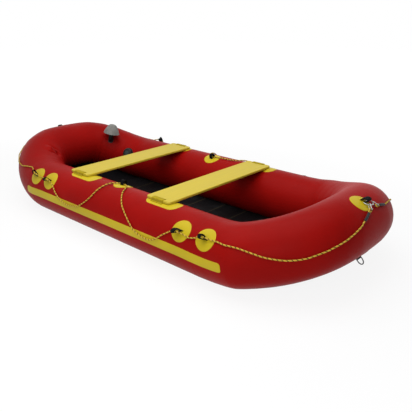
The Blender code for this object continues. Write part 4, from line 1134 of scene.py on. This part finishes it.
def addBottom():
    top, uv = [], []
    shares = np.linspace(-1, 1, bottom["across"])
    runs = skinRuns(sternRun, bowRun)[1:-1]
    for run in runs:
        ring = skinRing(run)
        edge = ring[round(bottom["angle"] / 360 * skin["turns"])]
        inward = ring.mean(axis=0) - edge
        edge = edge + inward / np.linalg.norm(inward) * bottom["tuck"]
        for share in shares:
            top.append(np.array([edge[0], edge[1] * share, edge[2]]))
            uv.append((run, edge[1] * share))
    low = [point - np.array([0, 0, bottom["thickness"]]) for point in top]
    faces = sheetFaces(len(runs), len(shares))
    sheet = addPiece("bottomSheet", top + low, faces, bottomFabric, "hull", ["bottom_skin"], uv + uv, 50)


addBottom()
# the pale bars along the boards' edges are painted highlight: light caught on the edges, drawn as colour
boardEdge = {"width": 0.004, "height": 0.0018, "inset": 0.02, "boards": 8}
edgePlaces = []
for board in range(2, boardEdge["boards"] + 1):
    low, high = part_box(f"floor_board_{board}")
    edgePlaces.append(Vector((low[0], (low[1] + high[1]) / 2, high[2])))
grow("boardEdges", boardStrips, edgePlaces, edgeHighlight, "hull",
     Length=high[1] - low[1] - 2 * boardEdge["inset"], Width=boardEdge["width"], Height=boardEdge["height"])

# Red doublers under the valves, the caps' grip discs and the thwart straps' stitching
valves = {"aft": (1, -1.190, 157.0), "fore": (-1, 1.330, 150.0), "relief": (1, -1.533, 145.0),
          "doubler": 0.083, "reliefDoubler": 0.056, "thickness": 0.0014, "disc": 0.026, "discHeight": 0.0035,
          "discSides": 32, "hub": 0.0001, "sunk": -0.002, "rim": 0.0225, "rimSides": 48, "rimLevel": 0.8,
          "beads": {"Spacing": 0.006, "Length": 0.0042, "Width": 0.0016}}


def addDoubler(name, place, radius):
    addPatch(name, tubeFrame(*valves[place]), roundOutline(radius, patch["turns"]), redFabric, (),
             valves["thickness"])


def addCapDetails(place):
    origin, along, around, up = tubeFrame(*valves[place])
    cap = bpy.data.objects[f"valve_cap_{place}"]
    corners = [cap.matrix_world @ vertex.co for vertex in cap.data.vertices]
    top = max(corner.dot(up) for corner in corners)
    middle = origin + up * (top - origin.dot(up))
    disc, height, hub, sunk = (valves[key] for key in ("disc", "discHeight", "hub", "sunk"))
    profile = ((hub, height * 0.75), (disc * 0.45, height), (disc * 0.8, height * 0.9), (disc, height * 0.35),
               (disc, sunk), (hub, sunk))
    across = up.cross(Vector((0, 0, 1))).normalized()
    beside = up.cross(across)
    points, count = [], valves["discSides"]
    for radius, level in profile:
        points += [middle + across * a + beside * b + up * level for a, b in roundOutline(radius, count)]
    faces = gridFaces(len(profile), count, False, True)
    faces += [tuple(range(count)), tuple(range(len(points) - count, len(points)))]
    addPiece(f"valveDisc_{place}", points, faces, valveGrey, cap.name)
    rim = [middle + across * a + beside * b + up * height * valves["rimLevel"]
           for a, b in roundOutline(valves["rim"], valves["rimSides"])]
    grow(f"capBeads_{place}", stitches, rim, blackPlastic, cap.name, True, **valves["beads"])


for place in ("aft", "fore"):
    addDoubler(f"valveDoubler_{place}", place, valves["doubler"])
    addCapDetails(place)
addDoubler("reliefDoubler", "relief", valves["reliefDoubler"])
strapRows = {"inset": 0.004, "levels": (0.30, 0.62), "samples": 30, "spacing": 0.0046, "lift": 0.0002}


def addStrapStitches(place, name):
    node = f"thwart_strap_{place}_{name}"
    side = sides[name]
    low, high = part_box(node)
    strap = treeOf(bpy.data.objects[node])
    for row, share in enumerate(strapRows["levels"]):
        level = low[2] + (high[2] - low[2]) * share
        seam = []
        for x in np.linspace(low[0] + strapRows["inset"], high[0] - strapRows["inset"], strapRows["samples"]):
            hit = strap.ray_cast(Vector((x, side, level)), Vector((0, -side, 0)))
            if hit[0] is not None:
                seam.append(hit[0] + Vector((0, side * strapRows["lift"], 0)))
        if len(seam) > 1:
            grow(f"strapStitches_{place}_{name}_{row + 1}", stitches, seam, threadYellow, "hull",
                 Spacing=strapRows["spacing"])


for place in ("fore", "aft"):
    for name in sides:
        addStrapStitches(place, name)
print("valve details and stitching made")

# Frame pieces that are shown as they are, in the scene's finishes
carriedOver = {
    "thwart_fore": yellowBoard, "thwart_aft": yellowBoard, "bow_ring": stainless,
    "tow_ring": dullSteel, "relief_neck": blackPlastic, "valve_aft": blackPlastic, "valve_fore": blackPlastic,
    "valve_cap_aft": blackPlastic, "valve_cap_fore": blackPlastic, "bulkhead_port": bottomFabric,
    "bulkhead_starboard": bottomFabric, "relief_bell": bellGrey,
}
for name in sides:
    carriedOver[f"shackle_{name}"] = stainless
    carriedOver[f"shackle_pin_{name}"] = stainless
    for place in ("fore", "aft"):
        carriedOver[f"thwart_strap_{place}_{name}"] = yellowWebbing
for board in range(1, boardEdge["boards"] + 1):
    carriedOver[f"floor_board_{board}"] = blackBoard
for node, material in carriedOver.items():
    shown = bpy.data.objects[node]
    for place in shown.material_slots:
        place.material = material
print("frame pieces dressed")


# Studio: a pale floor that turns white away from the boat, and soft plain light
studio = {"floorSize": 40, "floorColour": 0.86, "world": 0.27, "white": 0.86, "glow": 1.03,
          "shadowReach": 1.7, "whiteReach": 3.4, "skyColour": (0.93, 0.95, 1, 1), "aim": (0.2, 0, 0.3),
          "lamps": {"overheadBox": ((0.2, -0.6, 3.6), 4.0, 122), "sideBox": ((2.5, -4.5, 2.6), 2.5, 52)}}


def addStudio():
    mesh = bpy.data.meshes.new("studioFloor")
    half = studio["floorSize"] / 2
    corners = [(-half, -half, 0), (half, -half, 0), (half, half, 0), (-half, half, 0)]
    mesh.from_pydata(corners, [], [(0, 1, 2, 3)])
    floor = bpy.data.objects.new("studioFloor", mesh)
    scene.collection.objects.link(floor)
    paint = Paint("studioFloor", (studio["floorColour"],) * 3, 0.9)
    glow = paint.node("ShaderNodeEmission", None, {"Strength": studio["glow"]})
    seen = paint.tree.nodes.new("ShaderNodeLightPath")
    rays = [Value(paint, seen.outputs[f"Is {kind} Ray"]) for kind in ("Camera", "Glossy", "Transmission")]
    x, y = paint.split(paint.place())[:2]
    fade = studio["whiteReach"] - studio["shadowReach"]
    away = ((x * x * 0.5 + y * y).math("SQRT") - studio["shadowReach"]) / fade
    share = away.clamp(0, 1) * (1 - studio["white"]) + studio["white"]
    blend = paint.node("ShaderNodeMixShader", None, {0: (rays[0] + rays[1] + rays[2]).clamp(0, 1) * share})
    paint.tree.links.new(paint.shader.outputs[0], blend.socket.node.inputs[1])
    paint.tree.links.new(glow.socket, blend.socket.node.inputs[2])
    paint.tree.links.new(blend.socket, paint.tree.nodes["Material Output"].inputs[0])
    mesh.materials.append(paint.material)

    world = bpy.data.worlds.new("studioWorld")
    scene.world = world
    world.use_nodes = True
    nodes, links = world.node_tree.nodes, world.node_tree.links
    nodes.clear()
    light, white = nodes.new("ShaderNodeBackground"), nodes.new("ShaderNodeBackground")
    light.inputs[0].default_value = studio["skyColour"]
    light.inputs[1].default_value = studio["world"]
    white.inputs[0].default_value = (1, 1, 1, 1)
    rays, mix = nodes.new("ShaderNodeLightPath"), nodes.new("ShaderNodeMixShader")
    either = [nodes.new("ShaderNodeMath") for step in range(2)]
    for step in either:
        step.operation = "MAXIMUM"
    ends = ((rays.outputs["Is Camera Ray"], either[0].inputs[0]),
            (rays.outputs["Is Glossy Ray"], either[0].inputs[1]),
            (either[0].outputs[0], either[1].inputs[0]),
            (rays.outputs["Is Transmission Ray"], either[1].inputs[1]),
            (either[1].outputs[0], mix.inputs[0]), (light.outputs[0], mix.inputs[1]),
            (white.outputs[0], mix.inputs[2]), (mix.outputs[0], nodes.new("ShaderNodeOutputWorld").inputs[0]))
    for giver, taker in ends:
        links.new(giver, taker)

    for name, (spot, size, power) in studio["lamps"].items():
        lamp = bpy.data.lights.new(name, "AREA")
        lamp.shape, lamp.size, lamp.energy = "SQUARE", size, power
        holder = bpy.data.objects.new(name, lamp)
        holder.location = spot
        holder.rotation_mode = "QUATERNION"
        holder.rotation_quaternion = (Vector(studio["aim"]) - Vector(spot)).to_track_quat("-Z", "Y")
        scene.collection.objects.link(holder)


addStudio()
print("scene made")
